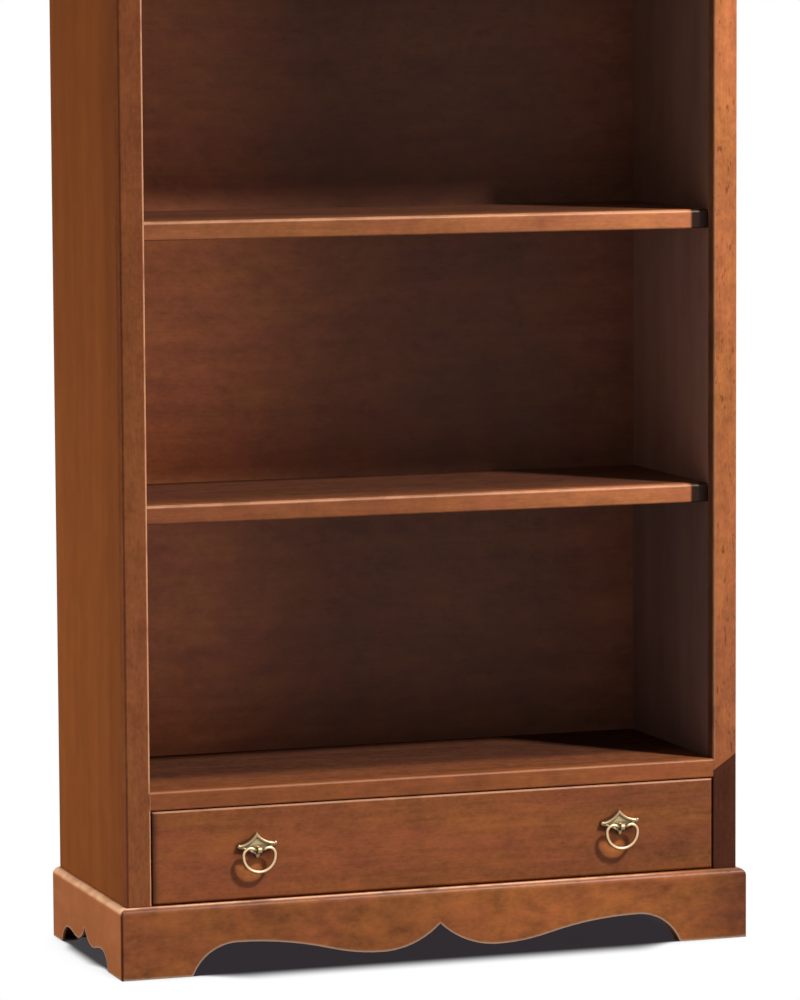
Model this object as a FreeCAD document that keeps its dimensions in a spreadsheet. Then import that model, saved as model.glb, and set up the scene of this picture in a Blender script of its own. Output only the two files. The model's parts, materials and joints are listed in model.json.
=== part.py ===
import FreeCAD, Part
import os
import re

import Sketcher

# An open bookcase with one wide drawer in its base. X runs along the front, the front faces -Y and
# Z is up. The origin lies on the floor, under the middle of the whole piece. Sizes are millimetres.

SIZES = {
    # carcass
    "body_width": (900, "outside of one side to the outside of the other"),
    "body_depth": (348, "front of the stiles to the rear edge of the sides"),
    "full_height": (1850, "floor to top"),
    "side_thickness": (35, "side panels, and the stiles that lip them"),
    "stile_depth": (20, "stiles and front rails, front to back"),
    "board_thickness": (26, "floor, shelves and top"),
    "housing_depth": (10, "how far boards are let into the sides"),
    "back_recess": (40, "rear edge of the sides to the face of the back panel"),
    "back_thickness": (8, "back panel"),
    "groove_depth": (8, "how far the back panel is let into the sides"),
    "lower_clear": (365, "clear height between the floor and the first shelf"),
    "upper_clear": (361, "clear height between one shelf and the next"),
    "lipping_depth": (20, "solid front edge of a shelf, front to back"),
    "nose_round": (5, "top front edge of a shelf"),
    "edge_round": (1.5, "outer front edges of the stiles"),
    "opening_round": (4, "front edges round the shelf opening"),
    "drawer_opening_round": (2.5, "front edges round the drawer opening"),
    "top_rail_height": (66, "rail under the cornice"),
    "scarf_height": (141, "plinth to the low end of the joint in the right stile"),
    "scarf_rise": (24, "slope of that joint across the stile"),
    # cornice
    "cornice_height": (50, "whole moulding"),
    "cornice_reach": (25, "how far the moulding stands out of the carcass"),
    "cornice_foot": (4, "step at its lower edge"),
    "cornice_cap": (14, "flat band at its upper edge"),
    "cornice_step": (6, "step under that band"),
    # plinth
    "plinth_height": (99, "floor to the carcass"),
    "plinth_thickness": (22, "plinth boards"),
    "plinth_reach": (11, "how far the plinth stands out of the carcass"),
    "plinth_round": (10, "quarter round along its top edge"),
    "front_foot": (101, "length of each foot along the front"),
    "front_curl": (64, "width of the curve from a front foot up to the high point"),
    "front_high": (43.5, "high point of the front apron beside the feet"),
    "front_low": (15.5, "low point of the front apron"),
    "front_low_x": (85, "low point of the front apron from the middle"),
    "front_cusp": (50, "point in the middle of the front apron"),
    "side_front_foot": (72, "length of a side's front foot"),
    "side_rear_foot": (47, "length of a side's rear foot"),
    "side_curl": (33, "the same curve on the side apron"),
    "side_high": (26, "high point of the side apron"),
    "side_low": (20, "low point of the side apron"),
    "side_low_y": (40, "low point of the side apron from its middle"),
    "side_cusp": (41, "point in the middle of the side apron"),
    "swing": (0.36, "share of the rise taken by the lower of its two arcs"),
    "bearer_height": (30, "bearers inside the plinth"),
    "bearer_depth": (24, "front and back bearers, front to back"),
    "block_leg": (24, "corner blocks inside the plinth"),
    "block_lift": (5, "corner blocks above the floor"),
    # drawer and what carries it
    "drawer_opening": (132, "plinth to the underside of the floor"),
    "drawer_gap": (1.4, "joint round the drawer front"),
    "drawer_front_depth": (20, "drawer front"),
    "drawer_side_height": (100, "drawer sides"),
    "drawer_wall": (12, "drawer sides and back"),
    "drawer_back_drop": (6, "drawer back below the top of the sides"),
    "drawer_round": (4, "rounded edges of the drawer front"),
    "drawer_lap": (5, "wood left in front of the dovetails"),
    "bottom_thickness": (5, "drawer bottom"),
    "bottom_lift": (8, "drawer bottom above the lower edge of the sides"),
    "bottom_groove": (6, "how far the bottom is let into the sides and front"),
    "tail_root": (17, "dovetail at its root"),
    "tail_flare": (2.5, "how much a tail spreads on each side"),
    "runner_width": (20, "runners, kickers and stops"),
    "runner_height": (12.7, "runners"),
    "runner_setback": (5, "start of the runners behind the drawer front"),
    "run_gap": (0.3, "running gap above the runners and before the stops"),
    "kicker_height": (16, "kickers under the floor"),
    "stop_height": (30, "drawer stops"),
    "stop_depth": (17.7, "drawer stops, front to back"),
    "screw_length": (32, "wood screws"),
    "bearer_screw": (58, "long screws up through the bearers"),
    "screw_radius": (2, "shank of a wood screw"),
    "screw_head": (4, "radius and depth of its countersunk head"),
    "pin_length": (18, "screws through the drawer bottom"),
    "pin_radius": (1.5, "their shank"),
    "pin_head": (3, "their head"),
    # ring pulls
    "left_pull_inset": (149.6, "left pull from the left end of the drawer front"),
    "right_pull_inset": (142.4, "right pull from the right end, as it was set by eye"),
    "pull_z": (170, "pivot of the rings above the floor"),
    "pull_reach": (13, "pivot of the rings in front of the drawer"),
    "plate_thickness": (5, "back plate"),
    "plate_bevel": (2.2, "bevel round the back plate"),
    "plate_apex": (22.8, "point of the plate above the pivot"),
    "plate_half": (27.7, "tip of the plate from its middle"),
    "tip_top": (8.5, "upper corner of a tip above the pivot"),
    "tip_low": (4, "lower corner of a tip above the pivot"),
    "brow_bow": (34, "radius of the hollow from apex to tip"),
    "wing_bow": (40, "radius of the hollow under a wing"),
    "drop_half": (6, "half width of the lower point at its root"),
    "drop_root": (4.5, "root of the lower point below the pivot"),
    "drop_end": (13, "end of the lower point below the pivot"),
    "ear_width": (6, "ear that holds the ring"),
    "ear_radius": (4.8, "round end of the ear"),
    "wire": (4.8, "thickness of the ring"),
    "eye_gap": (0.3, "room round the ring in its eye"),
    "ring_half": (22.9, "ring from its middle to its side, on the centre line"),
    "ring_side": (1, "straight length at each side of the ring"),
    "dip_half": (3.4, "half of the straight length in the eye"),
    "dip_radius": (8, "bend beside the eye"),
    "dip_angle": (34, "turn of that bend in degrees"),
    "bolt_z": (6, "fixing bolt above the pivot"),
    "bolt_radius": (2, "fixing bolt"),
    "bolt_gap": (0.2, "room round the bolt in the drawer front"),
    "bolt_bite": (3.5, "how far the bolt enters the plate"),
    "bolt_head": (5, "radius of the bolt's head"),
    "bolt_head_depth": (3, "depth of the bolt's head"),
    # cutters
    "cutter_margin": (12, "how far a cutter runs past the wood that it cuts"),
}

# Places that several pieces share, each worked out from the sizes above.
PLACES = {
    "front_y": "(cornice_reach - body_depth)/2",
    "back_y": "front_y + body_depth",
    "panel_y": "front_y + stile_depth",
    "inner_back_y": "back_y - back_recess",
    "side_x": "body_width/2",
    "inner_x": "side_x - side_thickness",
    "floor_z": "plinth_height + drawer_opening",
    "shelf_step": "board_thickness + upper_clear",
    "first_shelf_z": "floor_z + board_thickness + lower_clear",
    "plinth_x": "side_x + plinth_reach",
    "plinth_y": "front_y - plinth_reach",
    "plinth_inner_x": "plinth_x - plinth_thickness",
    "plinth_inner_y": "plinth_y + plinth_thickness",
    "bearer_z": "plinth_height - bearer_height",
    "runner_y": "front_y + drawer_front_depth + runner_setback",
    "runner_z": "plinth_height + runner_height",
    "drawer_x": "inner_x - drawer_gap",
    "left_pull_x": "-(drawer_x - left_pull_inset)",
    "right_pull_x": "drawer_x - right_pull_inset",
    "drawer_z": "runner_z + run_gap",
    "drawer_top": "drawer_z + drawer_side_height",
    "drawer_front_back": "front_y + drawer_front_depth",
    "drawer_end": "inner_back_y - stop_depth - run_gap",
    "bottom_z": "drawer_z + bottom_lift",
    "bottom_top": "bottom_z + bottom_thickness",
    "drawer_back_top": "drawer_top - drawer_back_drop",
    "bolt_end": "front_y - bolt_bite",
    "wire_radius": "wire/2",
    "bend_x": "dip_half + dip_radius*sin(dip_angle)",
    "bend_z": "dip_radius*(1 - cos(dip_angle))",
    "shoulder": "(ring_half - bend_x)/(1 + sin(dip_angle))",
    "shoulder_z": "bend_z - shoulder*cos(dip_angle)",
    "belly_z": "shoulder_z - ring_side",
    "ring_low": "belly_z - ring_half",
}

BETWEEN_X = ("-(inner_x)", "inner_x")
FRONT_DEPTH = ("front_y", "panel_y")
CARCASS_RANGE = ("plinth_height", "full_height")
FLOOR_RANGE = ("floor_z", "floor_z + board_thickness")

LEFT = "left"
RIGHT = "right"
HANDS = {LEFT: "-1", RIGHT: "1"}
SHELVES = (1, 2, 3)
TAILS = 3
SCREW_SHARES = (0.12, 0.5, 0.88)
PIN_SHARES = (-0.75, -0.25, 0.25, 0.75)
TOUCHING = 1e-6

doc = FreeCAD.newDocument("bookcase")
sheet = doc.addObject("Spreadsheet::Sheet", "Sizes")
for row, (alias, (number, note)) in enumerate(SIZES.items(), start=1):
    sheet.set(f"A{row}", alias)
    sheet.set(f"B{row}", str(number))
    sheet.set(f"C{row}", note)
    sheet.setAlias(f"B{row}", alias)
doc.recompute()

NODES = []


# ---------------------------------------------------------------- helpers

def formula(text):
    """The expression for a text that uses the names of sizes and places."""
    def swap(match):
        word = match.group()
        if word in PLACES:
            return "(" + formula(PLACES[word]) + ")"
        return "Sizes." + word if word in SIZES else word
    return re.sub(r"[a-z][a-z_0-9]*", swap, text)


def value(text):
    """The number that an expression has now."""
    return float(sheet.evalExpression(formula(text)))


def bind(item, prop, text):
    item.setExpression(prop, formula(text))


def span(hand, inner, outer):
    """The X range of a piece on the left or right, from its distances to the middle."""
    if hand == RIGHT:
        return inner, outer
    return f"-({outer})", f"-({inner})"


def node(item, name):
    """Gives a finished piece its name, which also names its file."""
    item.Label = name
    NODES.append(item)
    return item


def board(name, x, y, z):
    """A squared board between two corners, each range given as (low, high)."""
    item = doc.addObject("Part::Box", name)
    for axis, side, (low, high) in zip("xyz", ("Length", "Width", "Height"), (x, y, z)):
        bind(item, side, f"({high}) - ({low})")
        bind(item, f"Placement.Base.{axis}", low)
    return item


def cut(name, base, *tools):
    """The base with every tool taken out of it."""
    tool = tools[0]
    if len(tools) > 1:
        tool = doc.addObject("Part::Compound", name + "_cutters")
        tool.Links = list(tools)
    item = doc.addObject("Part::Cut", name)
    item.Base = base
    item.Tool = tool
    return item


def group(name, items):
    """Separate solids that share one node."""
    item = doc.addObject("Part::Compound", name)
    item.Links = items
    return node(item, name)


def ease(name, base, radius_for):
    """Rounds edges of a front face. radius_for gives the radius for an edge, or None."""
    doc.recompute()
    front = base.Shape.BoundBox.YMin
    picked = []
    for number, edge in enumerate(base.Shape.Edges, start=1):
        on_front = all(abs(vertex.Point.y - front) < TOUCHING for vertex in edge.Vertexes)
        radius = radius_for(edge) if on_front else None
        if radius:
            picked.append((number, value(radius), value(radius)))
    item = doc.addObject("Part::Fillet", name)
    item.Base = base
    item.Edges = picked
    return item


def common(name, base, tool):
    """What two pieces have in common."""
    item = doc.addObject("Part::Common", name)
    item.Base = base
    item.Tool = tool
    return item


ALONG_Z = FreeCAD.Vector(0, 0, 1)


def plane_of(body, role):
    return next(feature for feature in body.Origin.OriginFeatures if feature.Role == role)


def new_sketch(body, name, plane, offset="0"):
    """An empty sketch on one of the body's planes, moved along the plane's normal."""
    sketch = body.newObject("Sketcher::SketchObject", name)
    sketch.AttachmentSupport = [(plane_of(body, plane), "")]
    sketch.MapMode = "FlatFace"
    bind(sketch, "AttachmentOffset.Base.z", offset)
    return sketch


def curve(start, end, turn, radius):
    """A line, or the arc that leaves start and turns left (1) or right (-1) to end."""
    a = FreeCAD.Vector(start[0], start[1], 0)
    b = FreeCAD.Vector(end[0], end[1], 0)
    if turn == 0:
        return Part.LineSegment(a, b)
    half = (b - a).Length/2
    rise = max(radius**2 - half**2, 0)**0.5
    normal = FreeCAD.Vector(a.y - b.y, b.x - a.x, 0).normalize()
    centre = (a + b)/2 + normal*rise*turn
    circle = Part.Circle(centre, FreeCAD.Vector(0, 0, 1), radius)
    first, last = (a, b) if turn > 0 else (b, a)
    return Part.ArcOfCircle(circle, circle.parameter(first), circle.parameter(last))


def fix(sketch, kind, *data, text):
    """A constraint whose number comes from the sizes."""
    index = sketch.addConstraint(Sketcher.Constraint(kind, *data, value(text)))
    bind(sketch, f"Constraints[{index}]", text)


def outline(sketch, corners):
    """A closed outline. A corner is (across, up), or (across, up, turn, radius) where an arc leads
    to it: turn is 1 where that arc turns left and -1 where it turns right."""
    corners = [corner if len(corner) == 4 else (*corner, 0, "0") for corner in corners]
    points = [(value(across), value(up)) for across, up, turn, radius in corners]
    count = len(corners)
    for index, (across, up, turn, radius) in enumerate(corners):
        sketch.addGeometry(curve(points[index - 1], points[index], turn, value(radius)), False)
    for index, (across, up, turn, radius) in enumerate(corners):
        end = 1 if turn < 0 else 2
        following = (index + 1) % count
        begin = 2 if corners[following][2] < 0 else 1
        sketch.addConstraint(Sketcher.Constraint("Coincident", index, end, following, begin))
        fix(sketch, "DistanceX", -1, 1, index, end, text=across)
        fix(sketch, "DistanceY", -1, 1, index, end, text=up)
        if turn:
            fix(sketch, "Radius", index, text=radius)
    return sketch


def feature(body, kind, name, sketch, length=None, reversed_way=False, symmetric=False):
    """A Pad or Pocket of a sketch. With no length it goes right through, both ways."""
    item = body.newObject("PartDesign::" + kind, name)
    item.Profile = sketch
    if length is None:
        item.Type = "ThroughAll"
        item.SideType = "Symmetric"
    else:
        bind(item, "Length", length)
        item.SideType = "Symmetric" if symmetric else "One side"
        item.Reversed = reversed_way
    body.Tip = item
    return item


def mirror(body, name, items):
    """The same features again on the other side of the middle."""
    item = body.newObject("PartDesign::Mirrored", name)
    item.Originals = items
    item.MirrorPlane = (plane_of(body, "YZ_Plane"), [""])
    body.Tip = item
    return item


def new_body(name):
    return doc.addObject("PartDesign::Body", name)


def screw(name, place, axis, length, radius, head):
    """A countersunk screw whose head lies flush at place and which points along axis."""
    cone = doc.addObject("Part::Cone", name + "_head")
    bind(cone, "Radius1", head)
    bind(cone, "Radius2", radius)
    bind(cone, "Height", head)
    shank = doc.addObject("Part::Cylinder", name + "_shank")
    bind(shank, "Radius", radius)
    bind(shank, "Height", f"{length} - {head}")
    bind(shank, "Placement.Base.z", head)
    item = doc.addObject("Part::Fuse", name)
    item.Base = cone
    item.Tool = shank
    item.Placement.Rotation = FreeCAD.Rotation(ALONG_Z, FreeCAD.Vector(*axis))
    for direction, text in zip("xyz", place):
        bind(item, f"Placement.Base.{direction}", text)
    return item


# ---------------------------------------------------------------- boards that are let into the sides

def floor_and_top():
    housed_x = ("-(inner_x + housing_depth)", "inner_x + housing_depth")
    floor_board = board("floor_board", housed_x, ("panel_y", "inner_back_y"), FLOOR_RANGE)
    top_board = board("top_board", housed_x, ("panel_y", "back_y"),
                      ("full_height - board_thickness", "full_height"))
    return floor_board, node(top_board, "top_panel")


def back_panel():
    return node(board("back_board", ("-(inner_x + groove_depth)", "inner_x + groove_depth"),
                      ("inner_back_y", "inner_back_y + back_thickness"),
                      ("plinth_height", "full_height - board_thickness")), "back_panel")


def shelf(number):
    """A shelf board and its solid front edge, which is rounded on top."""
    low = f"first_shelf_z + {number - 1}*shelf_step"
    high = f"{low} + board_thickness"
    nose_y = "panel_y + lipping_depth"
    panel = board(f"shelf_board_{number}", ("-(inner_x + housing_depth)", "inner_x + housing_depth"),
                  (nose_y, "inner_back_y"), (low, high))
    edge = new_body(f"shelf_edge_body_{number}")
    profile = outline(new_sketch(edge, f"shelf_edge_profile_{number}", "YZ_Plane"), [
        (nose_y, low),
        (nose_y, high),
        ("panel_y + nose_round", high),
        ("panel_y", f"{high} - nose_round", 1, "nose_round"),
        ("panel_y", f"{low} + nose_round/2"),
        ("panel_y + nose_round/2", low, 1, "nose_round/2"),
    ])
    feature(edge, "Pad", f"shelf_edge_pad_{number}", profile, "2*(inner_x)", symmetric=True)
    node(edge, f"shelf_{number}_edge")
    return node(panel, f"shelf_{number}")


# ---------------------------------------------------------------- sides, stiles and front rails

def side_panel(hand, tools):
    blank = board(f"{hand}_side_blank", span(hand, "inner_x", "side_x"), ("panel_y", "back_y"),
                  CARCASS_RANGE)
    return node(cut(f"{hand}_side_cut", blank, *tools), f"{hand}_side_panel")


def front_frame():
    """Stiles and rails in one, so that the rounding of their edges turns each inner corner."""
    past_front = ("front_y - cutter_margin", "panel_y + cutter_margin")
    whole = board("frame_blank", ("-(side_x)", "side_x"), FRONT_DEPTH, CARCASS_RANGE)
    shelves_opening = board("shelves_opening", BETWEEN_X, past_front,
                            ("floor_z + board_thickness", "full_height - top_rail_height"))
    drawer_opening = board("drawer_opening", BETWEEN_X, past_front,
                           ("plinth_height - cutter_margin", "floor_z"))

    def radius_for(edge):
        middle = edge.CenterOfMass
        box = edge.BoundBox
        upright = box.ZLength > box.XLength
        if abs(middle.x) > value("inner_x") + TOUCHING:
            return "edge_round" if upright else None
        if middle.z > value("full_height") - TOUCHING:
            return None
        return "opening_round" if middle.z > value("floor_z") + TOUCHING else "drawer_opening_round"
    return ease("frame_eased", cut("frame_cut", whole, shelves_opening, drawer_opening), radius_for)


def front_rails(frame):
    floor_blank = board("floor_rail_blank", BETWEEN_X, FRONT_DEPTH, FLOOR_RANGE)
    node(common("floor_rail_part", frame, floor_blank), "floor_rail")
    top_blank = board("top_rail_blank", BETWEEN_X, FRONT_DEPTH,
                      ("full_height - top_rail_height", "full_height"))
    node(common("top_rail_part", frame, top_blank), "top_rail")


def stile(hand, frame):
    blank = board(f"{hand}_stile_blank", span(hand, "inner_x", "side_x"), FRONT_DEPTH, CARCASS_RANGE)
    return common(f"{hand}_stile_part", frame, blank)


def right_stile(frame):
    """The right stile is two lengths of wood, joined on a slope a little above the drawer."""
    whole = stile(RIGHT, frame)
    wedge = new_body("scarf_wedge")
    low = "plinth_height + scarf_height"
    profile = outline(new_sketch(wedge, "scarf_profile", "XZ_Plane", "-(panel_y)"), [
        ("inner_x", "plinth_height"),
        ("side_x", "plinth_height"),
        ("side_x", f"{low} + scarf_rise"),
        ("inner_x", low),
    ])
    feature(wedge, "Pad", "scarf_pad", profile, "stile_depth")
    node(common("right_stile_foot", whole, wedge), "right_stile_lower")
    node(cut("right_stile_head", whole, wedge), "right_stile_upper")


# ---------------------------------------------------------------- cornice

def cornice_profile(sketch, wall, way):
    """Step, cove, step and cap. The wall is the face it stands on, and way is the sign of outwards."""
    def out(reach):
        return f"{wall} + {way}*({reach})"
    foot_z = "full_height - cornice_height + cornice_foot"
    cap_z = "full_height - cornice_cap"
    cove_reach = "(cornice_reach - cornice_step - cornice_foot)"
    cove_rise = "(cornice_height - cornice_cap - cornice_foot)"
    cove = f"({cove_reach}^2 + {cove_rise}^2)/(2*{cove_reach})"
    turn = -1 if way == "-1" else 1
    return outline(sketch, [
        (wall, "full_height"),
        (wall, "full_height - cornice_height"),
        (out("cornice_foot"), "full_height - cornice_height"),
        (out("cornice_foot"), foot_z),
        (out("cornice_reach - cornice_step"), cap_z, -turn, cove),
        (out("cornice_reach"), cap_z),
        (out("cornice_reach"), "full_height"),
    ])


def mitre(body, name, sign, keep_front, reach, thickness):
    """Cuts the front corner at 45 degrees, through the outer corner and the inner one."""
    corner_x = f"(side_x + {reach})"
    corner_y = f"(front_y - {reach})"
    inwards = f"({thickness} + cutter_margin)"
    near = (f"{sign}*({corner_x} + cutter_margin)", f"{corner_y} - cutter_margin")
    far = (f"{sign}*({corner_x} - {inwards})", f"{corner_y} + {inwards}")
    third = (near[0], far[1]) if keep_front else (far[0], near[1])
    sketch = outline(new_sketch(body, name + "_sketch", "XY_Plane"), [near, far, third])
    return feature(body, "Pocket", name, sketch)


def cornice():
    front = new_body("cornice_front_body")
    profile = cornice_profile(new_sketch(front, "cornice_front_profile", "YZ_Plane"), "front_y", "-1")
    feature(front, "Pad", "cornice_front_pad", profile, "body_width + 2*cornice_reach", symmetric=True)
    corner = mitre(front, "cornice_front_mitre", "1", True, "cornice_reach", "cornice_reach")
    mirror(front, "cornice_front_mitres", [corner])
    node(front, "cornice_front")
    for hand, sign in HANDS.items():
        body = new_body(f"cornice_{hand}_body")
        sketch = new_sketch(body, f"cornice_{hand}_profile", "XZ_Plane", "-(back_y)")
        feature(body, "Pad", f"cornice_{hand}_pad", cornice_profile(sketch, f"{sign}*side_x", sign),
                "body_depth + cornice_reach")
        mitre(body, f"cornice_{hand}_mitre", sign, False, "cornice_reach", "cornice_reach")
        node(body, f"cornice_{hand}")


# ---------------------------------------------------------------- plinth

def apron(sketch, middle, way, half, curl, high, low, low_place, cusp):
    """One half of the scalloped edge, from the point in the middle to the inner end of a foot: a
    hollow, a long swell of two arcs that meet on a slope, and the curl down to the foot. way is 1 or -1."""
    high_place = f"({half} - {curl})"
    run = f"({high_place} - {low_place})"
    rise = f"({high} - {low})"
    bow = f"({run}^2 + {rise}^2)/(2*{rise})"
    hollow = f"({low_place}^2 + ({cusp} - {low})^2)/(2*({cusp} - {low}))"

    def at(distance):
        return f"{middle} + ({way})*({distance})"
    return outline(sketch, [
        (at("0"), "-cutter_margin"),
        (at("0"), cusp),
        (at(low_place), low, way, hollow),
        (at(f"{low_place} + swing*{run}"), f"{low} + swing*{rise}", way, f"swing*{bow}"),
        (at(high_place), high, -way, f"(1 - swing)*{bow}"),
        (at(half), "0", -way, f"({curl}^2 + {high}^2)/(2*{high})"),
        (at(half), "-cutter_margin"),
    ])


def plinth_profile(sketch, outer, way):
    """A board with a quarter round along its top outer edge; way is the sign of outwards."""
    turn = -1 if way == "-1" else 1
    return outline(sketch, [
        (f"{outer} - {way}*plinth_thickness", "0"),
        (outer, "0"),
        (outer, "plinth_height - plinth_round"),
        (f"{outer} - {way}*plinth_round", "plinth_height", turn, "plinth_round"),
        (f"{outer} - {way}*plinth_thickness", "plinth_height"),
    ])


def plinth_front():
    body = new_body("plinth_front_body")
    profile = plinth_profile(new_sketch(body, "plinth_front_profile", "YZ_Plane"), "plinth_y", "-1")
    feature(body, "Pad", "plinth_front_pad", profile, "2*(plinth_x)", symmetric=True)
    sketch = apron(new_sketch(body, "plinth_front_apron", "XZ_Plane"), "0", 1,
                   "(plinth_x - front_foot)", "front_curl", "front_high", "front_low", "front_low_x",
                   "front_cusp")
    scallop = feature(body, "Pocket", "plinth_front_scallop", sketch)
    corner = mitre(body, "plinth_front_mitre", "1", True, "plinth_reach", "plinth_thickness")
    mirror(body, "plinth_front_ends", [scallop, corner])
    node(body, "plinth_front")


def plinth_side(hand):
    sign = HANDS[hand]
    body = new_body(f"plinth_{hand}_body")
    sketch = new_sketch(body, f"plinth_{hand}_profile", "XZ_Plane", "-(back_y)")
    feature(body, "Pad", f"plinth_{hand}_pad", plinth_profile(sketch, f"{sign}*(plinth_x)", sign),
            "body_depth + plinth_reach")
    half = "((body_depth + plinth_reach - side_front_foot - side_rear_foot)/2)"
    middle = f"plinth_y + side_front_foot + {half}"
    for end, way in (("rear", 1), ("front", -1)):
        sketch = apron(new_sketch(body, f"plinth_{hand}_{end}_apron", "YZ_Plane"), middle, way, half,
                       "side_curl", "side_high", "side_low", "side_low_y", "side_cusp")
        feature(body, "Pocket", f"plinth_{hand}_{end}_scallop", sketch)
    mitre(body, f"plinth_{hand}_mitre", sign, False, "plinth_reach", "plinth_thickness")
    node(body, f"plinth_{hand}")


def plinth_inside():
    """Back board, the bearers that the carcass stands on, and the corner blocks."""
    board_z = ("0", "plinth_height")
    bearer_range = ("bearer_z", "plinth_height")
    back_inner = "back_y - plinth_thickness"
    node(board("plinth_back_board", ("-(plinth_inner_x)", "plinth_inner_x"), (back_inner, "back_y"),
               board_z), "plinth_back")
    node(board("front_bearer_board", BETWEEN_X, ("plinth_inner_y", "plinth_inner_y + bearer_depth"),
               bearer_range), "front_bearer")
    node(board("back_bearer_board", BETWEEN_X, (f"{back_inner} - bearer_depth", back_inner),
               bearer_range), "back_bearer")
    blocks = []
    for hand, sign in HANDS.items():
        for place, corner_y, way in (("front", "plinth_inner_y", "1"), ("back", back_inner, "-1")):
            body = new_body(f"{hand}_{place}_block")
            corner_x = f"{sign}*(plinth_inner_x)"
            sketch = outline(new_sketch(body, f"{hand}_{place}_block_sketch", "XY_Plane", "block_lift"), [
                (corner_x, corner_y),
                (f"{sign}*(plinth_inner_x - block_leg)", corner_y),
                (corner_x, f"{corner_y} + {way}*block_leg"),
            ])
            feature(body, "Pad", f"{hand}_{place}_block_pad", sketch, "bearer_z - block_lift")
            blocks.append(body)
    group("corner_blocks", blocks)


# ---------------------------------------------------------------- runners, kickers and stops

def screw_rows(name, hand_x, z, axis_of, length):
    """Three screws on each hand, spaced along the runners."""
    screws = []
    run = "(inner_back_y - (runner_y))"
    for hand, sign in HANDS.items():
        for number, share in enumerate(SCREW_SHARES, start=1):
            place = (f"{sign}*({hand_x})", f"runner_y + {share}*{run}", z)
            screws.append(screw(f"{name}_{hand}_{number}", place, axis_of(float(sign)),
                                length, "screw_radius", "screw_head"))
    return group(name, screws)


def drawer_carriage(floor_board):
    """Strips that the drawer runs on and under, and the blocks that stop it."""
    runner_screws = screw_rows("runner_screws", "inner_x - runner_width",
                               "plinth_height + runner_height/2", lambda side: (side, 0, 0),
                               "screw_length")
    kicker_screws = screw_rows("kicker_screws", "inner_x - runner_width/2",
                               "floor_z - kicker_height", lambda side: (0, 0, 1), "screw_length")
    bearer_screws = screw_rows("bearer_screws", "(inner_x + side_x)/2", "bearer_z",
                               lambda side: (0, 0, 1), "bearer_screw")
    long_y = ("runner_y", "inner_back_y")
    stops = []
    for hand in HANDS:
        strip_x = span(hand, "inner_x - runner_width", "inner_x")
        runner = board(f"{hand}_runner_blank", strip_x, long_y, ("plinth_height", "runner_z"))
        node(cut(f"{hand}_runner_cut", runner, runner_screws), f"{hand}_drawer_runner")
        kicker = board(f"{hand}_kicker_blank", strip_x, long_y, ("floor_z - kicker_height", "floor_z"))
        node(cut(f"{hand}_kicker_cut", kicker, kicker_screws), f"{hand}_kicker")
        bearer = board(f"{hand}_bearer_blank", span(hand, "inner_x", "plinth_inner_x"),
                       ("plinth_inner_y", "back_y - plinth_thickness"), ("bearer_z", "plinth_height"))
        node(cut(f"{hand}_bearer_cut", bearer, bearer_screws), f"{hand}_bearer")
        stops.append(board(f"{hand}_stop", strip_x, ("drawer_end + run_gap", "inner_back_y"),
                           ("runner_z", "runner_z + stop_height")))
    group("drawer_stops", stops)
    node(cut("floor_cut", floor_board, kicker_screws), "floor_panel")
    return runner_screws, bearer_screws


# ---------------------------------------------------------------- drawer

def tails(root_y, end_y, low, high, upward):
    """Corners of a row of dovetails between two heights, each narrower at its root than at its end."""
    corners = []
    order = range(TAILS) if upward else reversed(range(TAILS))
    for number in order:
        middle = f"{low} + (({high}) - ({low}))*{number + 0.5}/{TAILS}"
        below = [(root_y, f"{middle} - tail_root/2"), (end_y, f"{middle} - tail_root/2 - tail_flare")]
        above = [(end_y, f"{middle} + tail_root/2 + tail_flare"), (root_y, f"{middle} + tail_root/2")]
        tail = below + above
        corners += tail if upward else tail[::-1]
    return corners


def drawer_side_blank(hand):
    """A side with lapped dovetails at the front and through dovetails at the back."""
    body = new_body(f"{hand}_drawer_side_body")
    rear_root = "drawer_end - drawer_wall"
    corners = [("drawer_front_back", "drawer_z"), ("drawer_end", "drawer_z"),
               ("drawer_end", "bottom_top"), (rear_root, "bottom_top")]
    corners += tails(rear_root, "drawer_end", "bottom_top", "drawer_back_top", True)
    corners += [(rear_root, "drawer_back_top"), (rear_root, "drawer_top"),
                ("drawer_front_back", "drawer_top")]
    corners += tails("drawer_front_back", "front_y + drawer_lap", "drawer_z", "drawer_top", False)
    low, high = span(hand, "drawer_x - drawer_wall", "drawer_x")
    sketch = outline(new_sketch(body, f"{hand}_drawer_side_sketch", "YZ_Plane", low), corners)
    feature(body, "Pad", f"{hand}_drawer_side_pad", sketch, "drawer_wall")
    return body


def drawer(bolts):
    full_x = ("-(drawer_x)", "drawer_x")
    wall_x = "drawer_x - drawer_wall + bottom_groove"
    bottom = board("bottom_blank", (f"-({wall_x})", wall_x),
                   ("drawer_front_back - bottom_groove", "drawer_end"), ("bottom_z", "bottom_top"))
    pins = []
    for number, share in enumerate(PIN_SHARES, start=1):
        place = (f"{share}*(drawer_x)", "drawer_end - drawer_wall/2", "bottom_z")
        pins.append(screw(f"bottom_screw_{number}", place, (0, 0, 1),
                          "pin_length", "pin_radius", "pin_head"))
    pins = group("drawer_bottom_screws", pins)
    sides = {hand: drawer_side_blank(hand) for hand in HANDS}
    blank = board("drawer_front_blank", full_x, ("front_y", "drawer_front_back"),
                  ("plinth_height + drawer_gap", "floor_z - drawer_gap"))
    eased = ease("drawer_front_eased", blank, lambda edge: "drawer_round")
    node(cut("drawer_front_cut", eased, bottom, *sides.values(), *bolts), "drawer_front")
    back = board("drawer_back_blank", full_x, ("drawer_end - drawer_wall", "drawer_end"),
                 ("bottom_top", "drawer_back_top"))
    node(cut("drawer_back_cut", back, pins, *sides.values()), "drawer_back")
    for hand, side in sides.items():
        node(cut(f"{hand}_drawer_side_cut", side, bottom), f"drawer_{hand}_side")
    node(cut("bottom_cut", bottom, pins), "drawer_bottom")


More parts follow.
